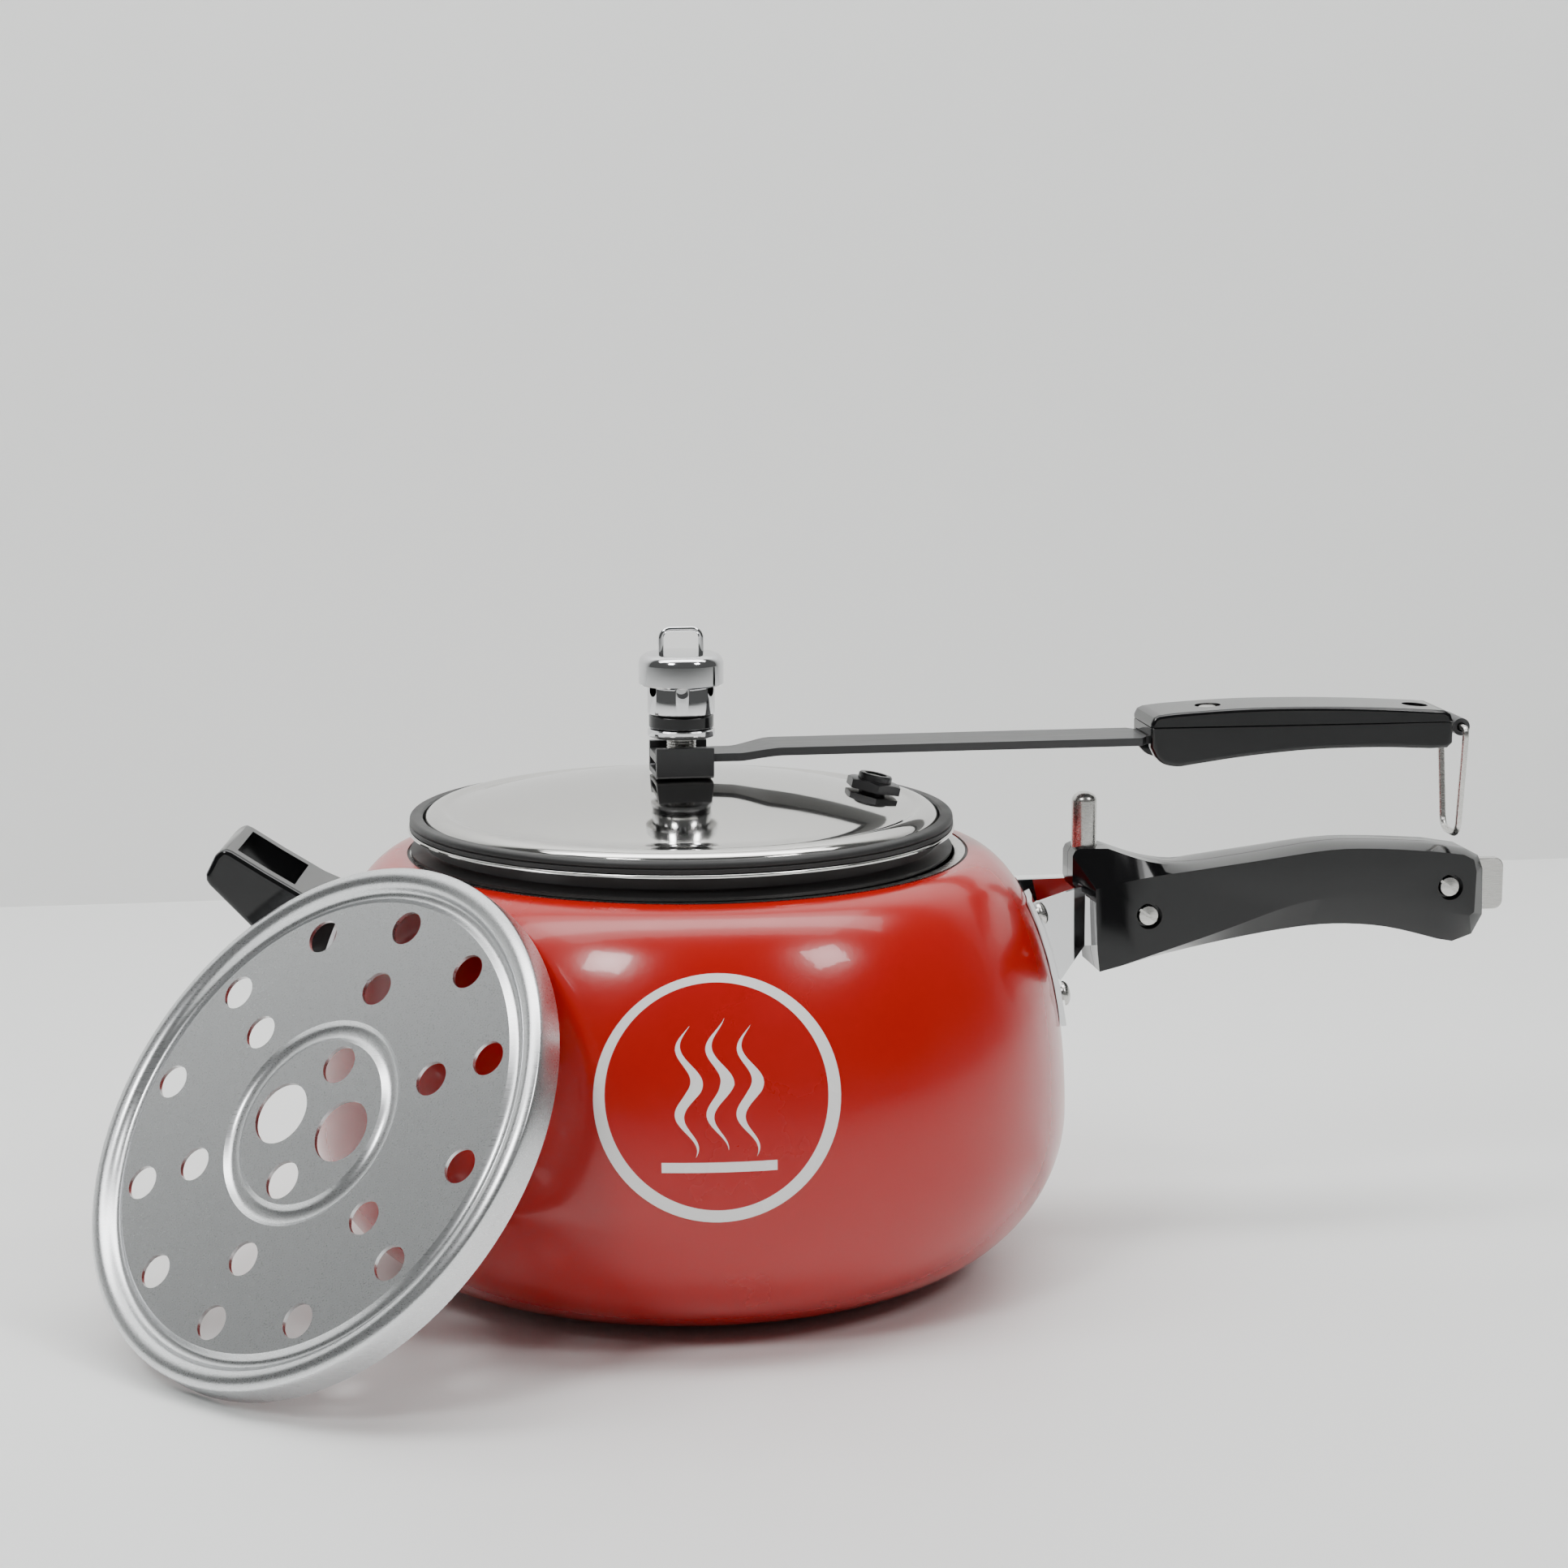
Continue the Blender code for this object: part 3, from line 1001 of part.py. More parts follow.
# ---------------------------------------------------------------- assembly
def make_looks():
    table = {
        "red gloss": ((0.66, 0.03, 0.01), 0.22, 0.0),
        "mirror steel": ((0.62, 0.61, 0.59), 0.12, 1.0),
        "chrome": ((0.70, 0.70, 0.71), 0.10, 1.0),
        "bright steel": ((0.60, 0.59, 0.57), 0.28, 1.0),
        "steel": ((0.45, 0.45, 0.45), 0.40, 1.0),
        "dark steel": ((0.08, 0.08, 0.08), 0.42, 0.7),
        "black grip": ((0.008, 0.008, 0.009), 0.18, 0.0),
        "rubber": ((0.015, 0.015, 0.015), 0.55, 0.0),
        "dull alloy": ((0.32, 0.32, 0.30), 0.60, 0.8),
        "brushed aluminium": ((0.66, 0.67, 0.68), 0.32, 1.0),
    }
    return {name: make_material(name, *values) for name, values in table.items()}


def main():
    clear_scene()
    looks = make_looks()

    handle_rivets = {side: [rivet_frame(POT_HEIGHT + height, side * RIVET_ANGLE)
                            for height in RIVET_HEIGHTS] for side in (-1.0, 1.0)}
    support_rivets = [rivet_frame(POT_HEIGHT + height, angle + math.degrees(SUPPORT_TURN))
                      for height, angle in SUPPORT_RIVETS]
    every_rivet = handle_rivets[-1.0] + handle_rivets[1.0] + support_rivets
    make_pot(looks, every_rivet)

    trim = pot_guide("arm trim", GAP + PLATE_SHEET / 2.0)
    wide_trim = pot_guide("support trim", 2.0 * GAP + PLATE_SHEET)
    make_grip(looks)
    for side, word in ((-1.0, "front"), (1.0, "back")):
        make_handle_bracket(side, f"handle_bracket_{word}", looks, trim, handle_rivets[side])
        for (place, direction), level in zip(handle_rivets[side], ("upper", "lower")):
            make_rivet(f"rivet_{word}_{level}", place, direction, looks)
    make_support(looks, wide_trim)
    for (place, direction), word in zip(support_rivets, ("back", "front")):
        make_rivet(f"support_rivet_{word}", place, direction, looks)

    lid_axis = make_axis("lid_axis", (0.0, 0.0, LIP_Z))
    bar_axis = make_axis("bar_axis", (0.0, 0.0, BAR_LOW + BAR_SHEET / 2.0), lid_axis)
    latch_axis = make_axis("latch_axis", (LID_REACH + LATCH_X, 0.0, EYE_Z), bar_axis)
    weight_axis = make_axis("weight_axis", (0.0, 0.0, WEIGHT_LOW), lid_axis)
    make_lid(looks, lid_axis)
    make_lid_bracket(looks, lid_axis)
    make_vent(looks, lid_axis)
    make_safety_valve(looks, lid_axis)
    bar = make_bar(looks, bar_axis)
    make_lid_grip(looks, bar_axis, bar)
    make_latch(looks, latch_axis)
    make_weight(looks, weight_axis)
    lid_axis.location.x = LID_SHIFT

    center, turn = grid_frame()
    grid_axis = make_axis("grid_axis", center)
    make_grid(looks, grid_axis, center, turn)


main()
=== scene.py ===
"""Looks of the stovetop pressure cooker: its detailed pieces, finishes, light and camera.

The frame is in metres, +Z up, with the long handles along +X.  Sizes below are in
millimetres and the helpers scale them.
"""

import math

import bpy
from mathutils import Matrix, Vector


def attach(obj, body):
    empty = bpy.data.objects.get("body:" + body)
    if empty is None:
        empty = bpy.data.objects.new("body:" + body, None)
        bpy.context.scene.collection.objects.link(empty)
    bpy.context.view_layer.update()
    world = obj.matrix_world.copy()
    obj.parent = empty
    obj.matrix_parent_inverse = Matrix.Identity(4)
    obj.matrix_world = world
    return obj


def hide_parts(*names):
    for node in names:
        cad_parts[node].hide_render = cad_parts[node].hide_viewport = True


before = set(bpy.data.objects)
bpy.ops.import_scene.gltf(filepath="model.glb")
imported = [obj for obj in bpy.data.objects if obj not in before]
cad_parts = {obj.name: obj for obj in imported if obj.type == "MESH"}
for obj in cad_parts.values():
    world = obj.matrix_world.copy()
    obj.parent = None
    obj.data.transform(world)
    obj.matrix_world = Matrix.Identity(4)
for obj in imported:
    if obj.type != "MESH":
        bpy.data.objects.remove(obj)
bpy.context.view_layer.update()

MM = 0.001

# Pot
POT_R = 122.0
POT_H = 135.0
BELLY_H = 51.0
BASE_R = 68.0
SHOULDER_R = 90.0
MOUTH_R = 85.5
WALL = 3.25
COATING = 0.8

# Lid and what stands on it
LID_X = -2.0
LIP_Z = 143.3
LIP_R = 87.5
LIP_W = 5.0
LID_TOP = 158.7
LID_SHEET = 1.0
DOME_R = 74.0
DOME_FALL = 9.9
BAR_LOW = 164.1
BAR_SHEET = 2.6
EYE_Z = 169.3
EYE_X = 255.55
WEIGHT_LOW = 171.6
STEM_HOLE = 3.3             # radius of the holes for the vent stem
VALVE_X = 62.1              # safety valve from the lid's own axis

# Screws
RECESS_R = 4.3
SHAFT_HOLE = 2.1
LID_SCREWS = ((49.5, 11.2), (120.0, 8.5))   # beyond the pot, recess floor above the bar

# Body handle
GRIP_HALF = 12.0
KEEL_HALF = 7.0
PARTING = 0.15              # half the seam between the two halves
POST_X = POT_R + 8.6
POST_R = 4.1
SCREWS = ((150.0, 110.0), (252.2, 116.4))

# Cooking grid
GRID_R = 84.3
GRID_TILT = math.radians(54.0)
GRID_TURN = math.radians(-141.0)
GRID_SLIP = -8.0
GRID_SPIN = math.radians(-1.0)
GRID_HOLES = ((12, 65.0, 5.4, 0.0), (6, 44.5, 5.4, 0.0), (2, 19.0, 6.0, 0.0),
              (2, 13.6, 9.8, 90.0))   # count, ring radius, hole radius, start in degrees

# Label and support handle
LABEL_TURN = math.radians(-93.3)
LABEL_Z = 83.0
LABEL_R = 36.5
SUPPORT_TURN = math.radians(-9.6)

ROUND = 128                 # steps round the large turned pieces


# ---------------------------------------------------------------- modelling
def clear_selection():
    if bpy.context.object and bpy.context.object.mode != "OBJECT":
        bpy.ops.object.mode_set(mode="OBJECT")
    bpy.ops.object.select_all(action="DESELECT")


def only(obj):
    clear_selection()
    obj.select_set(True)
    bpy.context.view_layer.objects.active = obj


def draw(name, points, closed=True):
    """A line of edges through the given points."""
    clear_selection()
    bpy.ops.mesh.primitive_plane_add(size=0.001)
    obj = bpy.context.object
    obj.name = name
    bpy.ops.object.mode_set(mode="EDIT")
    bpy.ops.mesh.select_all(action="SELECT")
    bpy.ops.mesh.merge(type="CENTER")
    bpy.ops.transform.translate(value=Vector(points[0]) * MM)
    row = list(points) + ([points[0]] if closed else [])
    for before, after in zip(row, row[1:]):
        step = (Vector(after) - Vector(before)) * MM
        bpy.ops.mesh.extrude_region_move(TRANSFORM_OT_translate={"value": step})
    bpy.ops.mesh.select_all(action="SELECT")
    bpy.ops.mesh.remove_doubles(threshold=1e-6)
    bpy.ops.mesh.select_all(action="SELECT")
    return obj


def close_up(obj, smooth=32.0):
    """Leave edit mode with outward faces, and shade smooth below an angle."""
    if obj.mode != "EDIT":
        only(obj)
        bpy.ops.object.mode_set(mode="EDIT")
    bpy.ops.mesh.select_all(action="SELECT")
    bpy.ops.mesh.normals_make_consistent(inside=False)
    bpy.ops.object.mode_set(mode="OBJECT")
    only(obj)
    bpy.ops.object.shade_smooth_by_angle(angle=math.radians(smooth))
    return obj


def turned(name, profile, steps=64, at=(0.0, 0.0, 0.0)):
    """An outline of (radius, height) points spun round +Z."""
    obj = draw(name, [(r, 0.0, z) for r, z in profile], profile[0][0] > 0.0 or profile[-1][0] > 0.0)
    bpy.ops.mesh.spin(steps=steps, angle=2.0 * math.pi, center=(0, 0, 0), axis=(0, 0, 1))
    bpy.ops.mesh.select_all(action="SELECT")
    bpy.ops.mesh.remove_doubles(threshold=2e-6)
    close_up(obj)
    return moved(obj, at)


def slab(name, outline, low, high, smooth=32.0):
    """A closed outline of (x, z) points extruded along Y."""
    obj = draw(name, [(x, low, z) for x, z in outline])
    bpy.ops.mesh.edge_face_add()
    bpy.ops.mesh.extrude_region_move(TRANSFORM_OT_translate={"value": (0, (high - low) * MM, 0)})
    return close_up(obj, smooth)


def plate(name, outline, low, high):
    """A closed outline of (x, y) points extruded along Z."""
    obj = draw(name, [(x, y, low) for x, y in outline])
    bpy.ops.mesh.edge_face_add()
    bpy.ops.mesh.extrude_region_move(TRANSFORM_OT_translate={"value": (0, 0, (high - low) * MM)})
    return close_up(obj)


def prism(name, radius, start, end, sides=48):
    """A cylinder, or a prism with few sides, between two points."""
    clear_selection()
    start, end = Vector(start) * MM, Vector(end) * MM
    turn = (end - start).to_track_quat("Z", "Y").to_euler()
    bpy.ops.mesh.primitive_cylinder_add(vertices=sides, radius=radius * MM,
                                        depth=(end - start).length,
                                        location=(start + end) / 2.0, rotation=turn)
    obj = bpy.context.object
    obj.name = name
    bpy.ops.object.transform_apply(location=True, rotation=True, scale=True)
    return close_up(obj)


def wire(name, points, radius, closed):
    """A round wire along a row of points."""
    obj = draw(name, points, closed)
    bpy.ops.object.mode_set(mode="OBJECT")
    bpy.ops.object.convert(target="CURVE")
    obj = bpy.context.object
    obj.data.bevel_depth = radius * MM
    obj.data.bevel_resolution = 5
    obj.data.use_fill_caps = True
    bpy.ops.object.convert(target="MESH")
    return close_up(bpy.context.object, 60.0)


def moved(obj, at, turn=None):
    """Put a piece in place and keep that place in its mesh."""
    only(obj)
    matrix = Matrix.Translation(Vector(at) * MM)
    obj.matrix_world = matrix @ turn.to_4x4() if turn else matrix
    bpy.ops.object.transform_apply(location=True, rotation=True, scale=True)
    return obj


def round_edges(obj, width, segments=3, angle=35.0):
    """Round every edge sharper than an angle."""
    only(obj)
    step = obj.modifiers.new("round", "BEVEL")
    step.width = width * MM
    step.segments = segments
    step.limit_method = "ANGLE"
    step.angle_limit = math.radians(angle)
    bpy.ops.object.modifier_apply(modifier=step.name)
    bpy.ops.object.shade_smooth_by_angle(angle=math.radians(32.0))
    return obj


def combine(obj, *tools, operation="DIFFERENCE"):
    """Cut with, join to or keep the inside of other pieces, which are then removed."""
    for tool in tools:
        only(obj)
        step = obj.modifiers.new("combine", "BOOLEAN")
        step.operation = operation
        step.solver = "EXACT"
        step.object = tool
        bpy.ops.object.modifier_apply(modifier=step.name)
        only(tool)
        bpy.ops.object.delete()
    only(obj)
    bpy.ops.object.shade_smooth_by_angle(angle=math.radians(32.0))
    return obj


def copy_of(obj, name):
    only(obj)
    bpy.ops.object.duplicate()
    bpy.context.object.name = name
    return bpy.context.object


def finish(obj, material, body, slot, *nodes):
    """Give a piece its finish and its moving body, and hide the nodes that it stands for."""
    obj.data.materials.clear()
    obj.data.materials.append(material)
    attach(obj, body)
    if nodes:
        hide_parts(*nodes)
    return obj


def smooth_row(points, steps):
    """Points on a smooth curve through the given points."""
    ends = [points[0]] + list(points) + [points[-1]]
    row = []
    for a, b, c, d in zip(ends, ends[1:], ends[2:], ends[3:]):
        for k in range(steps):
            t = k / steps
            row.append(tuple(0.5 * (2.0 * q + (r - p) * t
                                    + (2.0 * p - 5.0 * q + 4.0 * r - s) * t * t
                                    + (3.0 * q - p - 3.0 * r + s) * t ** 3)
                             for p, q, r, s in zip(a, b, c, d)))
    row.append(tuple(points[-1]))
    return row


def arc(center, radii, start, end, steps):
    row = []
    for k in range(steps + 1):
        angle = math.radians(start + (end - start) * k / steps)
        row.append((center[0] + radii[0] * math.cos(angle),
                    center[1] + radii[1] * math.sin(angle)))
    return row


def offset_row(points, distance):
    """A row of (radius, height) points moved to its right by a distance."""
    row = []
    for k, point in enumerate(points):
        run = Vector(points[min(k + 1, len(points) - 1)]) - Vector(points[max(k - 1, 0)])
        side = Vector((run.y, -run.x)).normalized()
        row.append((point[0] + side.x * distance, point[1] + side.y * distance))
    return row


# ---------------------------------------------------------------- finishes
def node_group(name, inputs):
    """A shader group with number inputs and one number output."""
    group = bpy.data.node_groups.new(name, "ShaderNodeTree")
    for label, value in inputs:
        socket = group.interface.new_socket(name=label, in_out="INPUT", socket_type="NodeSocketFloat")
        socket.default_value = value
    group.interface.new_socket(name="Value", in_out="OUTPUT", socket_type="NodeSocketFloat")
    return group, group.nodes.new("NodeGroupInput"), group.nodes.new("NodeGroupOutput")


def grain_group():
    """Fine even grain, as on a sprayed or moulded surface."""
    group, start, end = node_group("fine_grain", [("Scale", 900.0)])
    place = group.nodes.new("ShaderNodeTexCoord")
    noise = group.nodes.new("ShaderNodeTexNoise")
    noise.inputs["Detail"].default_value = 3.0
    group.links.new(place.outputs["Object"], noise.inputs["Vector"])
    group.links.new(start.outputs["Scale"], noise.inputs["Scale"])
    group.links.new(noise.outputs["Fac"], end.inputs["Value"])
    return group


def brushing_group():
    """Long fine scratches along X."""
    group, start, end = node_group("brushing", [("Low", 0.2), ("High", 0.35)])
    place = group.nodes.new("ShaderNodeTexCoord")
    stretch = group.nodes.new("ShaderNodeMapping")
    stretch.inputs["Scale"].default_value = (60.0, 2600.0, 2600.0)
    noise = group.nodes.new("ShaderNodeTexNoise")
    noise.inputs["Scale"].default_value = 1.0
    noise.inputs["Detail"].default_value = 2.0
    spread = group.nodes.new("ShaderNodeMapRange")
    group.links.new(place.outputs["Object"], stretch.inputs["Vector"])
    group.links.new(stretch.outputs["Vector"], noise.inputs["Vector"])
    group.links.new(noise.outputs["Fac"], spread.inputs["Value"])
    group.links.new(start.outputs["Low"], spread.inputs["To Min"])
    group.links.new(start.outputs["High"], spread.inputs["To Max"])
    group.links.new(spread.outputs["Result"], end.inputs["Value"])
    return group


def smudge_group():
    """Broad soft patches left by hands and wiping."""
    group, start, end = node_group("smudges", [("Low", 0.1), ("High", 0.2), ("Scale", 28.0)])
    place = group.nodes.new("ShaderNodeTexCoord")
    noise = group.nodes.new("ShaderNodeTexNoise")
    noise.inputs["Detail"].default_value = 5.0
    spread = group.nodes.new("ShaderNodeMapRange")
    spread.inputs["From Min"].default_value = 0.35
    spread.inputs["From Max"].default_value = 0.7
    group.links.new(place.outputs["Object"], noise.inputs["Vector"])
    group.links.new(start.outputs["Scale"], noise.inputs["Scale"])
    group.links.new(noise.outputs["Fac"], spread.inputs["Value"])
    group.links.new(start.outputs["Low"], spread.inputs["To Min"])
    group.links.new(start.outputs["High"], spread.inputs["To Max"])
    group.links.new(spread.outputs["Result"], end.inputs["Value"])
    return group


GRAIN = grain_group()
BRUSHING = brushing_group()
SMUDGES = smudge_group()


def add_group(material, group, **values):
    node = material.node_tree.nodes.new("ShaderNodeGroup")
    node.node_tree = group
    for label, value in values.items():
        node.inputs[label].default_value = value
    return node


def make_material(name, color, metallic, rough, coat=0.0, brushed=False, bump=0.0, grain=900.0):
    """A Principled finish whose roughness varies between two values over the surface."""
    material = bpy.data.materials.new(name)
    material.use_nodes = True
    tree = material.node_tree
    shader = tree.nodes["Principled BSDF"]
    shader.inputs["Base Color"].default_value = (*color, 1.0)
    shader.inputs["Metallic"].default_value = metallic
    shader.inputs["Coat Weight"].default_value = coat
    shader.inputs["Coat Roughness"].default_value = 0.04
    if brushed:
        marks = add_group(material, BRUSHING, Low=rough[0], High=rough[1])
    else:
        marks = add_group(material, SMUDGES, Low=rough[0], High=rough[1])
    tree.links.new(marks.outputs["Value"], shader.inputs["Roughness"])
    if bump:
        surface = add_group(material, GRAIN, Scale=grain)
        height = tree.nodes.new("ShaderNodeBump")
        height.inputs["Strength"].default_value = bump
        height.inputs["Distance"].default_value = 0.0001
        tree.links.new(surface.outputs["Value"], height.inputs["Height"])
        tree.links.new(height.outputs["Normal"], shader.inputs["Normal"])
        if coat:
            tree.links.new(height.outputs["Normal"], shader.inputs["Coat Normal"])
    return material


def maths(tree, operation, first, second=None):
    """One arithmetic step of a printed pattern."""
    node = tree.nodes.new("ShaderNodeMath")
    node.operation = operation
    for socket, value in zip(node.inputs, (first, second)):
        if value is None:
            continue
        if isinstance(value, (int, float)):
            socket.default_value = value
        else:
            tree.links.new(value, socket)
    return node.outputs[0]


def label_material(center_x, center_z, radius):
    """A round printed label: white ring, red field and three white curls of steam."""
    material = make_material("round_label", (0.8, 0.8, 0.8), 0.0, (0.22, 0.32))
    tree = material.node_tree
    place = tree.nodes.new("ShaderNodeTexCoord")
    split = tree.nodes.new("ShaderNodeSeparateXYZ")
    tree.links.new(place.outputs["Object"], split.inputs[0])
    x = maths(tree, "MULTIPLY", maths(tree, "SUBTRACT", split.outputs["X"], center_x * MM), 1000.0)
    z = maths(tree, "MULTIPLY", maths(tree, "SUBTRACT", split.outputs["Z"], center_z * MM), 1000.0)
    reach = maths(tree, "SQRT", maths(tree, "ADD", maths(tree, "MULTIPLY", x, x),
                                      maths(tree, "MULTIPLY", z, z)))
    white = maths(tree, "GREATER_THAN", reach, radius - 3.6)
    for k, shift in enumerate((-9.0, 0.0, 9.0)):
        wave = maths(tree, "MULTIPLY", maths(tree, "SINE", maths(tree, "MULTIPLY", z, 0.32)), 2.6)
        side = maths(tree, "ABSOLUTE", maths(tree, "SUBTRACT", maths(tree, "SUBTRACT", x, shift), wave))
        height = maths(tree, "ABSOLUTE", maths(tree, "SUBTRACT", z, 2.0 + 2.0 * (k == 1)))
        width = maths(tree, "SUBTRACT", 2.1, maths(tree, "MULTIPLY", height, 0.11))
        white = maths(tree, "MAXIMUM", white, maths(tree, "LESS_THAN", side, width))
    base = maths(tree, "MULTIPLY", maths(tree, "LESS_THAN", maths(tree, "ABSOLUTE", x), 17.0),
                 maths(tree, "LESS_THAN", maths(tree, "ABSOLUTE", maths(tree, "ADD", z, 20.0)), 1.5))
    white = maths(tree, "MAXIMUM", white, base)
    mix = tree.nodes.new("ShaderNodeMix")
    mix.data_type = "RGBA"
    mix.inputs["A"].default_value = (0.4, 0.004, 0.003, 1.0)
    mix.inputs["B"].default_value = (0.82, 0.81, 0.8, 1.0)
    tree.links.new(white, mix.inputs["Factor"])
    tree.links.new(mix.outputs["Result"], tree.nodes["Principled BSDF"].inputs["Base Color"])
    return material


RED = make_material("red_enamel", (0.4, 0.003, 0.001), 0.0, (0.2, 0.28), coat=0.3, bump=0.22,
                    grain=420.0)
DARK_LINING = make_material("dark_lining", (0.05, 0.05, 0.05), 0.6, (0.35, 0.5), bump=0.1)
MIRROR = make_material("mirror_steel", (0.62, 0.61, 0.59), 1.0, (0.05, 0.1))
CHROME = make_material("chrome_plate", (0.7, 0.7, 0.71), 1.0, (0.04, 0.1))
SATIN = make_material("satin_steel", (0.6, 0.59, 0.57), 1.0, (0.2, 0.34), brushed=True)
DARK_STEEL = make_material("dark_satin_steel", (0.07, 0.07, 0.072), 0.75, (0.26, 0.46), brushed=True)
BLACK = make_material("black_bakelite", (0.003, 0.003, 0.0035), 0.0, (0.08, 0.16), bump=0.03)
RUBBER = make_material("black_rubber", (0.014, 0.014, 0.014), 0.0, (0.4, 0.6), bump=0.3)
ALLOY = make_material("dull_alloy", (0.32, 0.32, 0.3), 0.8, (0.5, 0.7), bump=0.4, grain=1500.0)
ALUMINIUM = make_material("pressed_aluminium", (0.7, 0.71, 0.72), 1.0, (0.22, 0.36), brushed=True,
                          bump=0.05)


# ---------------------------------------------------------------- pot
def shoulder(angle, lift):
    across, rise = POT_R - SHOULDER_R, POT_H - BELLY_H
    point = Vector((SHOULDER_R + across * math.cos(angle), BELLY_H + rise * math.sin(angle)))
    out = Vector((math.cos(angle) / across, math.sin(angle) / rise)).normalized()
    return point + out * lift, out


def shoulder_angle(height):
    return math.asin((height - BELLY_H) / (POT_H - BELLY_H))


def pot_side(lift):
    lower = arc((BASE_R, BELLY_H), (POT_R - BASE_R + lift, BELLY_H + lift), -90.0, 0.0, 28)
    upper = arc((SHOULDER_R, BELLY_H), (POT_R - SHOULDER_R + lift, POT_H - BELLY_H + lift),
                0.0, 90.0, 36)
    return lower + upper[1:]


def make_pot():
    outer = pot_side(0.0)
    inner = pot_side(-COATING)
    shell = turned("pot_coating", outer + inner[::-1], ROUND)
    finish(shell, RED, "root", "red_coating", "pot_body")

    cavity = arc((SHOULDER_R, BELLY_H), (POT_R - SHOULDER_R - WALL, POT_H - BELLY_H - WALL),
                 90.0, 0.0, 24)
    cavity += arc((BASE_R, BELLY_H), (POT_R - BASE_R - WALL, BELLY_H - 4.0), 0.0, -90.0, 20)[1:]
    lining = [(0.0, 0.0)] + [(BASE_R, 0.0)] + pot_side(-COATING - 0.02)[1:]
    lining += [(MOUTH_R + 1.2, POT_H - COATING), (MOUTH_R + 1.2, POT_H - WALL)] + cavity + [(0.0, 4.0)]
    finish(turned("pot_lining", lining, ROUND), DARK_LINING, "root", "dark_anodised", "pot_body")

    ring = [(MOUTH_R + 1.22, POT_H - WALL), (MOUTH_R + 1.22, POT_H - COATING),
            (SHOULDER_R - 1.0, POT_H - COATING), (SHOULDER_R - 1.0, POT_H + 0.03),
            (MOUTH_R + 0.8, POT_H + 0.03), (MOUTH_R + 0.2, POT_H - 0.3), (MOUTH_R, POT_H - 1.0),
            (MOUTH_R, POT_H - WALL)]
    finish(turned("mouth_edge", ring, ROUND), SATIN, "root", "bright_steel", "pot_body")
    return shell


def make_label(pot):
    """A thin round label laid on the pot's shoulder."""
    point, out = shoulder(shoulder_angle(LABEL_Z), 25.0)
    spin = Matrix.Rotation(LABEL_TURN, 3, "Z")
    place = spin @ Vector((point.x, 0.0, point.y))
    face = spin @ Vector((out.x, 0.0, out.y))
    clear_selection()
    bpy.ops.mesh.primitive_circle_add(vertices=96, radius=LABEL_R * MM, fill_type="NGON",
                                      location=place * MM,
                                      rotation=face.to_track_quat("Z", "Y").to_euler())
    label = bpy.context.object
    label.name = "round_label"
    bpy.ops.object.mode_set(mode="EDIT")
    bpy.ops.mesh.select_all(action="SELECT")
    for _ in range(16):
        bpy.ops.mesh.inset(thickness=2.15 * MM, depth=0.0)
    bpy.ops.object.mode_set(mode="OBJECT")
    wrap = label.modifiers.new("wrap", "SHRINKWRAP")
    wrap.target = pot
    wrap.wrap_method = "PROJECT"
    wrap.use_negative_direction = True
    wrap.use_positive_direction = False
    wrap.use_project_z = True
    wrap.offset = 0.05 * MM
    bpy.ops.object.modifier_apply(modifier=wrap.name)
    thick = label.modifiers.new("thick", "SOLIDIFY")
    thick.thickness = 0.12 * MM
    thick.offset = 1.0
    bpy.ops.object.modifier_apply(modifier=thick.name)
    bpy.ops.object.transform_apply(location=True, rotation=True, scale=True)
    close_up(label, 40.0)
    reach = shoulder(shoulder_angle(LABEL_Z), 0.0)[0].x
    print_on = label_material(reach * math.cos(LABEL_TURN), LABEL_Z, LABEL_R)
    finish(label, print_on, "root", "label_white")


# ---------------------------------------------------------------- lid
def dome(radius):
    return LID_TOP - DOME_FALL * (radius / DOME_R) ** 2


def make_lid():
    at = (LID_X, 0.0, 0.0)
    edge = LIP_R - LIP_W
    radii = [STEM_HOLE + (DOME_R - STEM_HOLE) * k / 16 for k in range(17)]
    top = [(radius, dome(radius)) for radius in radii]
    top += smooth_row([(DOME_R + 1.2, LIP_Z + 5.6), (edge - 5.3, LIP_Z + 6.15),
                       (edge - 2.6, LIP_Z + 5.5), (edge - 0.7, LIP_Z + 4.0), (edge, LIP_Z + 2.3)], 4)
    top += arc((edge + 1.2, LIP_Z + 1.2), (1.2, 1.2), 180.0, 270.0, 5) + [(LIP_R - 0.5, LIP_Z)]
    top += arc((LIP_R - 0.5, LIP_Z - 0.5), (0.5, 0.5), 90.0, 0.0, 3)
    under = [(STEM_HOLE, top[0][1] - LID_SHEET)] + offset_row(top, LID_SHEET)[1:-5]
    profile = top + [(LIP_R - 0.1, LIP_Z - LID_SHEET)] + under[::-1]
    finish(turned("lid_dome", profile, ROUND, at), MIRROR, "lid", "polished_steel", "lid_plate")

    inner, low = edge + 0.3, LIP_Z + 0.3
    ring = [(inner, low), (inner + 4.3, low), (inner + 4.3, low + 1.1), (inner + 3.8, low + 1.4),
            (inner + 4.2, low + 1.8)]
    ring += arc((inner + 2.9, low + 2.4), (1.3, 1.3), 0.0, 90.0, 5)
    ring += [(inner + 0.6, low + 3.7), (inner, low + 3.2)]
    finish(turned("lid_seal", ring, ROUND, at), RUBBER, "lid", "rubber", "gasket")

    roof, seat = LIP_Z - 1.3, POT_H + 0.3
    rim = MOUTH_R - 2.6
    rest = [(rim - 3.0, POT_H - 3.0), (rim, POT_H - 3.0), (rim, seat), (LIP_R - 0.9, seat),
            (LIP_R - 0.7, seat + 1.0), (rim - 0.4, seat + 2.0), (rim - 1.0, seat + 2.6),
            (rim - 1.0, roof), (rim - 3.0, roof)]
    finish(turned("lid_prop_ring", rest, ROUND, at), RUBBER, "lid", "rubber", "rest_ring")


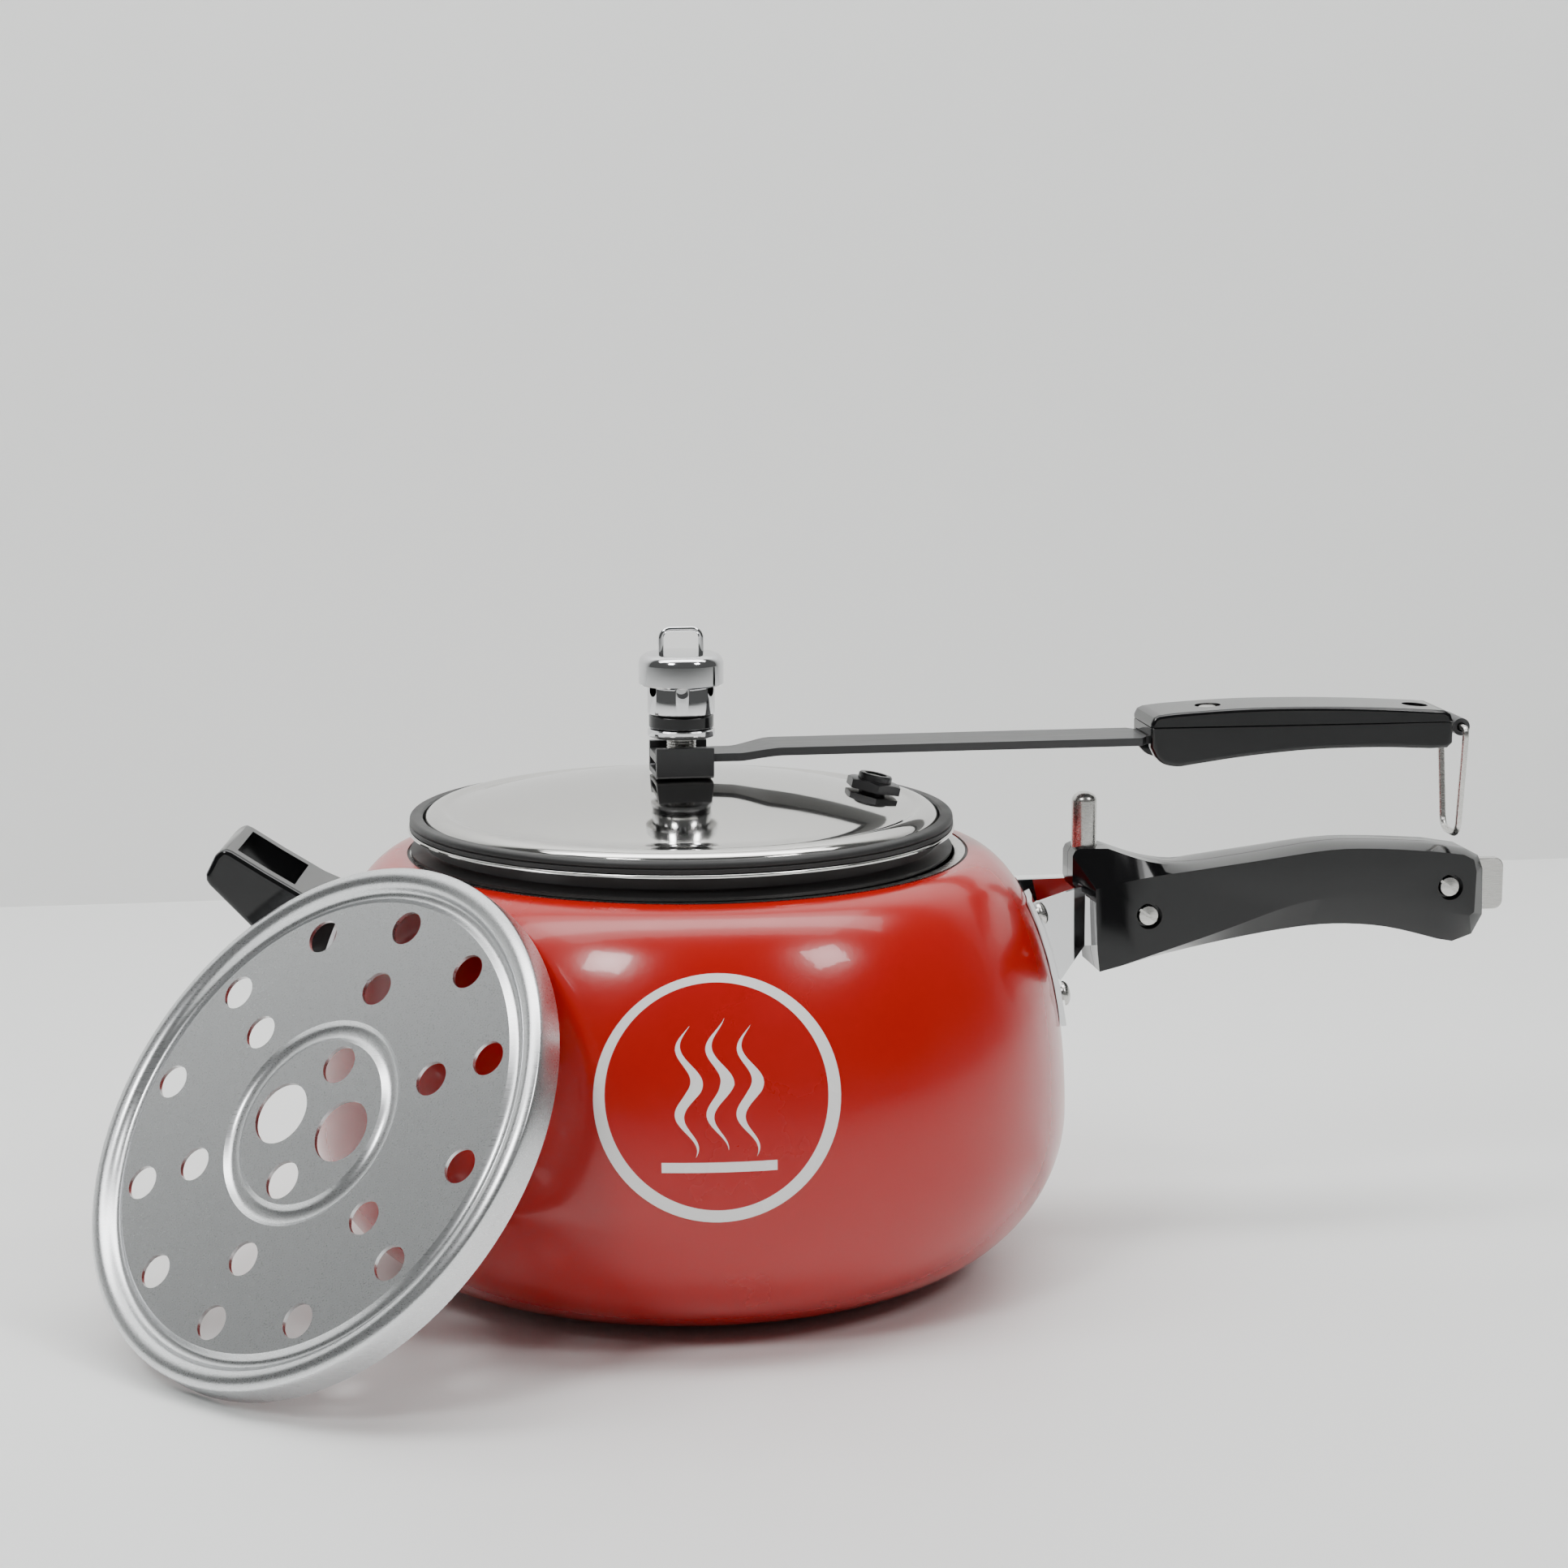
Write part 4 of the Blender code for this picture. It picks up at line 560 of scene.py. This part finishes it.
def make_vent():
    at = (LID_X, 0.0, 0.0)
    low = LID_TOP + 0.3
    outer = [(-10.0, low + 10.0)] + arc((-8.5, low + 1.5), (1.5, 1.5), 180.0, 270.0, 5)
    outer += arc((8.5, low + 1.5), (1.5, 1.5), 270.0, 360.0, 5) + [(10.0, low + 10.0)]
    inner = [(8.0, low + 10.0), (8.0, low + 2.4), (7.6, low + 2.0), (-7.6, low + 2.0),
             (-8.0, low + 2.4), (-8.0, low + 10.0)]
    obj = draw("lid_bracket_channel", [(-9.25, y, z) for y, z in outer + inner])
    bpy.ops.mesh.edge_face_add()
    bpy.ops.mesh.extrude_region_move(TRANSFORM_OT_translate={"value": (18.5 * MM, 0, 0)})
    close_up(obj)
    combine(obj, prism("vent_hole", STEM_HOLE, (0, 0, low - 3), (0, 0, low + 5)))
    round_edges(obj, 0.3, 2)
    finish(moved(obj, at), DARK_STEEL, "lid", "dark_steel", "lid_bracket")

    nut = prism("vent_nut_piece", 10.0 / math.sqrt(3.0), (0, 0, low + 2.3), (0, 0, BAR_LOW - 0.6), 6)
    combine(nut, prism("nut_hole", STEM_HOLE, (0, 0, low), (0, 0, low + 9)))
    finish(moved(round_edges(nut, 0.3, 2), at), SATIN, "lid", "bright_steel", "vent_nut")

    base = BAR_LOW + BAR_SHEET + 0.6
    collar = [(STEM_HOLE, base), (4.4, base), (4.7, base + 0.3)]
    for level in (1.1, 2.0, 2.9):
        collar += [(4.7, base + level - 0.3), (4.25, base + level), (4.7, base + level + 0.3)]
    collar += [(4.7, base + 3.7), (4.4, base + 4.0), (STEM_HOLE, base + 4.0)]
    finish(turned("ribbed_collar", collar, 48, at), SATIN, "lid", "bright_steel", "vent_collar")


def make_valve():
    slope = math.atan(2.0 * DOME_FALL * VALVE_X / DOME_R ** 2)
    turn = Matrix.Rotation(slope, 3, "Y")
    at = (VALVE_X + LID_X, 0.0, dome(VALVE_X))
    nut = prism("safety_hexagon", 16.0 / math.sqrt(3.0), (0, 0, 0.7), (0, 0, 3.7), 6)
    dish = turned("nut_chamfer", [(0.0, -2.0), (12.0, -2.0), (12.0, 1.9), (8.1, 3.7), (0.0, 3.7)], 48)
    combine(nut, dish, operation="INTERSECT")
    collar = turned("nut_collar", [(0.0, 2.0), (5.5, 2.0), (5.5, 5.4), (5.1, 5.9), (3.6, 5.9),
                                   (3.5, 3.9), (0.0, 3.9)], 48)
    shank = prism("nut_shank", 4.4, (0, 0, -7.5), (0, 0, 2.5))
    combine(nut, collar, shank, operation="UNION")
    finish(moved(nut, at, turn), DARK_STEEL, "lid", "dark_steel", "safety_valve")
    plug = turned("safety_plug_piece", [(0.0, 4.0), (3.2, 4.0), (3.2, 5.0), (2.8, 5.3), (0.0, 5.4)], 40)
    finish(moved(plug, at, turn), ALLOY, "lid", "fusible_alloy", "safety_plug")


def make_weight():
    at = (LID_X, 0.0, 0.0)
    low = WEIGHT_LOW
    base = [(4.6, low), (10.2, low), (10.65, low + 0.2), (10.8, low + 0.7), (10.8, low + 2.2),
            (10.5, low + 2.6), (4.6, low + 2.6)]
    finish(turned("regulator_foot", base, 96, at), CHROME, "weight", "chrome", "weight_base")
    low += 2.9
    band = [(4.6, low), (10.1, low), (10.4, low + 0.4), (10.4, low + 3.8), (10.1, low + 4.2),
            (4.6, low + 4.2)]
    finish(turned("regulator_band", band, 96, at), BLACK, "weight", "rubber", "weight_band")
    low += 4.5
    barrel = [(4.6, low), (10.4, low), (10.7, low + 0.2), (10.8, low + 0.6), (10.8, low + 9.0),
              (9.8, low + 10.6), (4.6, low + 10.6)]
    barrel = turned("regulator_barrel", barrel, 96)
    holes = []
    for k in range(6):
        angle = math.radians(60.0 * k + 25.0)
        out = (math.cos(angle) * 14.0, math.sin(angle) * 14.0, low + 8.0)
        holes.append(prism("steam_hole", 2.0, (out[0] * 0.4, out[1] * 0.4, low + 8.0), out, 32))
    combine(barrel, *holes)
    finish(moved(barrel, at), CHROME, "weight", "chrome", "weight_barrel")
    low += 10.9
    cap = [(0.0, low), (12.1, low), (12.1, low - 1.5), (13.2, low - 1.5), (13.6, low - 1.1)]
    cap += arc((10.2, low + 5.1), (3.4, 3.4), 0.0, 90.0, 10) + [(0.0, low + 8.8)]
    finish(turned("regulator_cap", cap, 96, at), CHROME, "weight", "chrome", "weight_cap")
    foot, crown = low + 5.5, low + 16.1
    right = [(6.4, foot), (6.4, crown - 3.0)] + arc((3.4, crown - 3.0), (3.0, 3.0), 10.0, 90.0, 8)
    loop = [(y, 0.0, z) for y, z in right] + [(-y, 0.0, z) for y, z in right[::-1]]
    finish(moved(wire("regulator_loop", loop, 0.9, False), at), CHROME, "weight", "chrome",
           "weight_loop")


# ---------------------------------------------------------------- lever bar, lid handle, latch
def make_bar():
    low = [(-11.25, BAR_LOW)] + smooth_row([(13.0, BAR_LOW), (17.0, BAR_LOW + 0.2), (26.0, BAR_LOW + 1.8),
                                            (31.0, BAR_LOW + 2.0)], 4)
    low += [(146.0, BAR_LOW + 2.1), (EYE_X, EYE_Z - 1.3)]
    side = low + [(x, z + BAR_SHEET) for x, z in low[::-1]]
    bar = slab("lever_bar", side, -12.0, 12.0)
    width = [(-20.0, -7.5), (14.0, -7.5), (26.0, -11.0), (147.0, -11.0), (149.0, -8.0),
             (EYE_X + 5.0, -8.0)]
    top = plate("bar_outline", width + [(x, -y) for x, y in width[::-1]], BAR_LOW - 10.0, BAR_LOW + 20.0)
    combine(bar, top, operation="INTERSECT")
    eye = prism("bar_eye", 2.9, (EYE_X, -8.0, EYE_Z), (EYE_X, 8.0, EYE_Z), 40)
    combine(bar, eye, operation="UNION")
    combine(bar, prism("eye_bore", 1.5, (EYE_X, -12.0, EYE_Z), (EYE_X, 12.0, EYE_Z), 32),
            prism("vent_bore", 3.9, (LID_X, 0, BAR_LOW - 5), (LID_X, 0, BAR_LOW + 8), 40))
    finish(round_edges(bar, 0.25, 2, 50.0), DARK_STEEL, "bar", "dark_steel", "lid_bar")


def make_lid_grip():
    top = smooth_row([(30.3, 12.0), (38.9, 12.8), (60.6, 13.7), (82.5, 13.6), (104.4, 12.8),
                      (126.6, 11.4)], 4)
    bottom = smooth_row([(122.0, -1.2), (104.5, -0.4), (82.5, -0.5), (60.7, -2.1), (42.2, -4.4),
                         (36.8, -5.0), (32.0, -4.0), (29.2, -1.6)], 4)
    outline = [(27.7, 1.5), (27.7, 9.3), (28.6, 11.2)] + top
    outline += [(128.6, 10.2), (129.5, 8.0), (129.5, 0.6), (127.7, -1.1)] + bottom
    outline = [(POT_R + x, BAR_LOW + z) for x, z in outline]
    whole = slab("lid_handle_body", outline, -12.0, 12.0)
    round_edges(whole, 1.2, 4, 50.0)
    channel = [(140.0, 140.0), (140.0, BAR_LOW + 4.9), (152.0, BAR_LOW + 4.9),
               (260.0, EYE_Z - 1.3 + 2.9), (260.0, 140.0)]
    combine(whole, slab("bar_channel", channel, -8.3, 8.3))
    cover = copy_of(whole, "lid_handle_cover")
    part = [(POT_R + 20.0, BAR_LOW + 8.2), (POT_R + 140.0, BAR_LOW + 7.7)]
    above = slab("above", [part[0], part[1], (POT_R + 140.0, 200.0), (POT_R + 20.0, 200.0)], -20, 20)
    below = slab("below", [(x, z - 0.25) for x, z in part] + [(POT_R + 140.0, 130.0),
                                                            (POT_R + 20.0, 130.0)], -20.0, 20.0)
    combine(cover, above, operation="INTERSECT")
    combine(whole, below, operation="INTERSECT")
    for reach, floor in LID_SCREWS:
        x = POT_R + reach
        combine(cover, prism("recess", RECESS_R, (x, 0, BAR_LOW + floor), (x, 0, 190), 40),
                prism("shaft", SHAFT_HOLE, (x, 0, 160), (x, 0, 190), 24))
    finish(round_edges(cover, 0.25, 2, 55.0), BLACK, "bar", "black_bakelite", "lid_handle")
    finish(round_edges(whole, 0.25, 2, 55.0), BLACK, "bar", "black_bakelite", "lid_handle")


def make_latch():
    foot = EYE_Z - 36.2
    side = [(12.3, EYE_Z - 1.3), (12.25, EYE_Z - 3.0)]
    side += arc((3.0, foot + 5.0), (5.0, 5.0), 0.0, -90.0, 8)
    right = [(EYE_X, y, z) for y, z in side]
    left = [(x, -y, z) for x, y, z in right[::-1]]
    crown = [(EYE_X, -y, z) for y, z in ((12.0, EYE_Z - 0.5), (11.3, EYE_Z), (4.0, EYE_Z))]
    crown += [(x, -y, z) for x, y, z in crown[::-1]]
    finish(wire("latch_wire", right + left + crown, 1.1, True), SATIN, "latch", "bright_steel",
           "latch_loop")


# ---------------------------------------------------------------- body handle
def from_pot(points):
    return [(POT_R + x, POT_H + z) for x, z in points]


KEEL = from_pot(
    [(12.9, -44.1), (11.4, -38.0), (10.2, -18.4), (7.2, -18.1), (4.2, -16.2), (3.3, -13.5),
     (3.3, -5.2), (4.1, -3.6), (5.8, -2.9)]
    + smooth_row([(15.1, -3.1), (29.1, -7.9), (43.5, -9.4), (65.1, -7.0), (89.2, -3.8),
                  (107.0, -3.9), (125.8, -5.1)], 4)
    + [(137.0, -7.0), (141.0, -9.0), (142.8, -13.6), (143.1, -29.1), (139.6, -35.6), (133.0, -37.9)]
    + smooth_row([(128.1, -37.0), (109.8, -32.2), (91.6, -30.6), (73.6, -31.9), (49.8, -35.7),
                  (26.1, -40.6)], 4))
FACE = from_pot(
    [(11.6, -43.0), (10.8, -36.0), (10.2, -24.0), (10.1, -20.0), (10.05, -18.0), (10.0, -16.6),
     (10.0, -15.6), (10.0, -15.0), (10.0, -14.8)]
    + smooth_row([(14.0, -14.4), (29.1, -11.9), (43.5, -10.2), (65.1, -7.6), (89.2, -4.8),
                  (107.0, -5.0), (125.8, -6.6)], 4)
    + [(134.5, -7.8), (138.0, -9.6), (139.0, -13.6), (138.6, -27.2), (137.0, -28.4), (133.0, -27.6)]
    + smooth_row([(127.0, -26.6), (109.8, -22.6), (91.6, -21.0), (76.6, -22.8), (49.8, -31.6),
                  (19.0, -41.2)], 4))


def make_grip():
    half = draw("grip_front", [(x, -PARTING, z) for x, z in KEEL])
    side = (0, (PARTING - KEEL_HALF) * MM, 0)
    bpy.ops.mesh.extrude_region_move(TRANSFORM_OT_translate={"value": side})
    bpy.ops.object.mode_set(mode="OBJECT")
    draw("grip_face", [(x, -GRIP_HALF, z) for x, z in FACE])
    bpy.ops.object.mode_set(mode="OBJECT")
    half.select_set(True)
    bpy.context.view_layer.objects.active = half
    bpy.ops.object.join()
    for vertex in half.data.vertices:
        vertex.select = vertex.co.y < (1.0 - KEEL_HALF) * MM
    bpy.ops.object.mode_set(mode="EDIT")
    bpy.ops.mesh.bridge_edge_loops()
    bpy.ops.mesh.select_all(action="DESELECT")
    bpy.ops.mesh.select_non_manifold()
    bpy.ops.mesh.fill_holes(sides=0)
    close_up(half)
    round_edges(half, 0.6, 3, 28.0)
    back = copy_of(half, "grip_back")
    bpy.ops.object.mode_set(mode="EDIT")
    bpy.ops.mesh.select_all(action="SELECT")
    bpy.ops.transform.mirror(constraint_axis=(False, True, False), center_override=(0, 0, 0))
    close_up(back)
    for piece, side, name in ((half, -1.0, "handle_half_front"), (back, 1.0, "handle_half_back")):
        tools = [prism("post_hole", POST_R + 0.2, (POST_X, 0, POT_H - 8), (POST_X, 0, POT_H + 9))]
        for x, z in SCREWS:
            tools.append(prism("recess", RECESS_R, (x, side * 9.4, z), (x, side * 14.0, z), 40))
            tools.append(prism("shaft", SHAFT_HOLE, (x, 0.0, z), (x, side * 14.0, z), 24))
        pocket = from_pot([(130.0, -29.0), (150.0, -29.0), (150.0, -10.9), (130.0, -10.9)])
        tools.append(slab("tab_pocket", pocket, min(0.0, side * 1.8), max(0.0, side * 1.8)))
        combine(piece, *tools)
        finish(piece, BLACK, "root", "black_bakelite", name)


def make_handle_metal():
    tab = from_pot(arc((149.0, -25.6), (3.1, 3.1), -90.0, 0.0, 6)
                   + arc((149.0, -14.3), (3.1, 3.1), 0.0, 90.0, 6) + [(130.5, -11.2), (130.5, -28.7)])
    piece = round_edges(slab("catch_tab", tab, -1.5, 1.5), 0.35, 2)
    finish(piece, SATIN, "root", "bright_steel", "handle_core")
    low, high = POT_H - 7.7, POT_H + 14.9
    post = [(0.0, low), (POST_R, low)] + arc((0.0, high - 3.0), (POST_R, 3.0), 0.0, 90.0, 12)
    post[-1] = (0.0, high)
    finish(turned("bearing_post", post, 64, (POST_X, 0, 0)), SATIN, "root", "bright_steel",
           "fulcrum_post")
    stand = Matrix.Rotation(math.radians(90.0), 3, "X")
    tilt = Matrix.Rotation(math.radians(35.0), 3, "Y")
    for (x, z), word in zip(SCREWS, ("near", "far")):
        head = turned("screw", [(0.0, -11.0), (1.8, -11.0), (1.8, 9.6), (3.4, 9.6), (3.4, 10.7),
                                (3.1, 11.2), (0.0, 11.5)], 48)
        combine(head, slab("slot", [(-5, 10.6), (5, 10.6), (5, 13.0), (-5, 13.0)], -0.45, 0.45))
        head.name = f"grip_screw_{word}"
        finish(moved(head, (x, 0, z), tilt @ stand), SATIN, "root", "bright_steel",
               f"handle_screw_{word}")


def rivet_place(height, degrees):
    point, out = shoulder(shoulder_angle(POT_H + height), 0.0)
    spin = Matrix.Rotation(math.radians(degrees), 3, "Z")
    return spin @ Vector((point.x, 0.0, point.y)), spin @ Vector((out.x, 0.0, out.y))


def make_rivets():
    places = {"rivet_front_upper": (-21, -12), "rivet_front_lower": (-47, -12),
              "rivet_back_upper": (-21, 12), "rivet_back_lower": (-47, 12),
              "support_rivet_back": (-47, 166.4), "support_rivet_front": (-47, 174.4)}
    for name, (height, degrees) in places.items():
        place, out = rivet_place(height, degrees)
        shape = [(0.0, -5.0), (3.3, -5.0), (3.6, -4.0), (2.2, -4.0), (2.2, 2.4), (4.0, 2.4)]
        shape += arc((0.0, 2.6), (4.0, 2.0), 0.0, 90.0, 8)
        shape[-1] = (0.0, 4.6)
        rivet = turned(name + "_head", shape, 40)
        turn = out.to_track_quat("Z", "Y").to_matrix()
        finish(moved(rivet, place, turn), SATIN, "root", "bright_steel", name)


# ---------------------------------------------------------------- support handle
def make_support():
    outline = [(-17.5, -39.0), (-17.5, -17.5), (-10.0, -15.5), (-2.0, -11.9), (11.0, -4.1),
               (21.5, 2.6), (23.2, 3.3), (24.8, 3.2), (27.0, 1.2), (30.0, -4.8), (30.0, -6.8),
               (29.0, -8.4), (14.4, -23.5), (3.0, -30.5), (-7.0, -37.0)]
    handle = slab("support_grip", [(-x, z) for x, z in from_pot(outline)], -22.0, 22.0)
    round_edges(handle, 1.8, 4)
    guide = turned("pot_guide", [(0.0, -2.0)] + pot_side(2.4) + [(0.0, POT_H + 2.4)], ROUND)
    combine(handle, guide)
    clear_selection()
    bpy.ops.mesh.primitive_cube_add(size=1.0)
    pocket = bpy.context.object
    pocket.scale = (21.0 * MM, 32.0 * MM, 44.0 * MM)
    pocket.location = (-(POT_R + 12.5) * MM, 0.0, (POT_H - 5.0) * MM)
    pocket.rotation_euler = (0.0, math.radians(31.0), 0.0)
    bpy.ops.object.transform_apply(location=True, rotation=True, scale=True)
    combine(handle, pocket)
    handle = moved(round_edges(handle, 0.5, 2, 60.0), (0, 0, 0),
                   Matrix.Rotation(SUPPORT_TURN, 3, "Z"))
    finish(handle, BLACK, "root", "black_bakelite", "support_handle")


# ---------------------------------------------------------------- cooking grid
def grid_frame():
    across = (POT_R - SHOULDER_R) * math.sin(GRID_TILT)
    rise = (POT_H - BELLY_H) * math.cos(GRID_TILT)
    reach = (SHOULDER_R * math.sin(GRID_TILT) + math.hypot(across, rise)
             + BELLY_H * math.cos(GRID_TILT) + 0.7)
    height = GRID_R * math.sin(GRID_TILT) + 0.3
    distance = (reach - height * math.cos(GRID_TILT)) / math.sin(GRID_TILT)
    slip = Vector((-math.sin(GRID_TURN), math.cos(GRID_TURN), 0.0)) * GRID_SLIP
    center = Vector((distance * math.cos(GRID_TURN), distance * math.sin(GRID_TURN), height)) + slip
    turn = Matrix.Rotation(GRID_TURN, 3, "Z") @ Matrix.Rotation(GRID_TILT, 3, "Y")
    return center, turn @ Matrix.Rotation(GRID_SPIN, 3, "Z")


def make_grid():
    front = smooth_row([(GRID_R, 0.0), (GRID_R, 7.6), (GRID_R - 0.7, 9.6), (GRID_R - 3.4, 10.6),
                        (GRID_R - 6.0, 9.6), (GRID_R - 7.6, 7.4), (GRID_R - 9.6, 7.0),
                        (GRID_R - 11.6, 8.4)], 4)
    front += [(50.0, 8.4), (34.0, 8.4)]
    front += smooth_row([(33.2, 8.4), (31.4, 7.1), (28.4, 7.1), (26.4, 8.4)], 4) + [(14.0, 8.4)]
    back = offset_row(front, -1.2)
    back[0] = (GRID_R - 1.2, 0.0)
    profile = [(0.0, 8.4)] + front[::-1] + back + [(0.0, 7.2)]
    grid = turned("steaming_grid", profile, ROUND)
    tools = []
    for count, ring, radius, start in GRID_HOLES:
        for k in range(count):
            angle = 2.0 * math.pi * k / count + math.radians(start)
            x, y = ring * math.cos(angle), ring * math.sin(angle)
            tools.append(prism("hole", radius, (x, y, -5.0), (x, y, 20.0), 40))
    combine(grid, *tools)
    center, turn = grid_frame()
    finish(moved(grid, center, turn), ALUMINIUM, "grid", "aluminium", "grid_plate")


def dress_packed_pieces():
    """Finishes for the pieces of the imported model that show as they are."""
    looks = {"handle_bracket_front": CHROME, "handle_bracket_back": CHROME,
             "support_bracket": CHROME, "handle_nut_near": SATIN, "handle_nut_far": SATIN,
             "support_screw": SATIN, "vent_stem": SATIN, "safety_nut": DARK_STEEL,
             "lid_handle_screw_near": SATIN, "lid_handle_screw_far": SATIN, "weight_needle": SATIN}
    for name, material in looks.items():
        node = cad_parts[name]
        node.data.materials.clear()
        node.data.materials.append(material)


# ---------------------------------------------------------------- camera, floor and light
def set_camera():
    data = bpy.data.cameras.new("camera")
    data.lens = 83.85
    data.sensor_width = 36.0
    data.clip_end = 20.0
    camera = bpy.data.objects.new("camera", data)
    bpy.context.scene.collection.objects.link(camera)
    camera.location = (-0.1501, -1.1451, 0.3563)
    camera.rotation_euler = (math.radians(80.148), 0.0, math.radians(-9.0))
    bpy.context.scene.camera = camera


def make_stage():
    pale = make_material("pale_floor", (0.84, 0.85, 0.84), 0.0, (0.4, 0.5))
    clear_selection()
    bpy.ops.mesh.primitive_plane_add(size=6.0, location=(0.0, -2.4, 0.0))
    floor = bpy.context.object
    floor.name = "floor"
    clear_selection()
    bpy.ops.mesh.primitive_plane_add(size=6.0, location=(0.0, 0.6, 1.0),
                                     rotation=(math.radians(90.0), 0.0, 0.0))
    wall = bpy.context.object
    wall.name = "wall"
    for piece in (floor, wall):
        piece.data.materials.append(pale)


def area_light(name, place, aim, size, power):
    data = bpy.data.lights.new(name, "AREA")
    data.shape = "RECTANGLE"
    data.size, data.size_y = size
    data.energy = power
    lamp = bpy.data.objects.new(name, data)
    bpy.context.scene.collection.objects.link(lamp)
    lamp.location = place
    lamp.rotation_euler = (Vector(aim) - Vector(place)).to_track_quat("-Z", "Y").to_euler()


def make_light():
    world = bpy.data.worlds.new("studio")
    bpy.context.scene.world = world
    world.use_nodes = True
    background = world.node_tree.nodes["Background"]
    background.inputs["Color"].default_value = (0.86, 0.88, 0.87, 1.0)
    background.inputs["Strength"].default_value = 0.13
    area_light("key", (-0.75, -0.95, 1.25), (0.0, 0.0, 0.1), (0.34, 0.34), 9.0)
    area_light("fill", (0.95, -0.95, 1.25), (0.0, 0.0, 0.1), (0.34, 0.34), 7.0)
    area_light("overhead", (0.0, -0.1, 1.9), (0.0, 0.05, 0.0), (2.4, 1.2), 24.0)
    area_light("wall_wash", (0.0, -0.1, 1.5), (0.0, 0.6, 0.5), (2.6, 0.5), 20.0)


pot = make_pot()
make_label(pot)
make_lid()
make_vent()
make_valve()
make_weight()
make_bar()
make_lid_grip()
make_latch()
make_grip()
make_handle_metal()
make_rivets()
make_support()
make_grid()
dress_packed_pieces()
set_camera()
make_stage()
make_light()
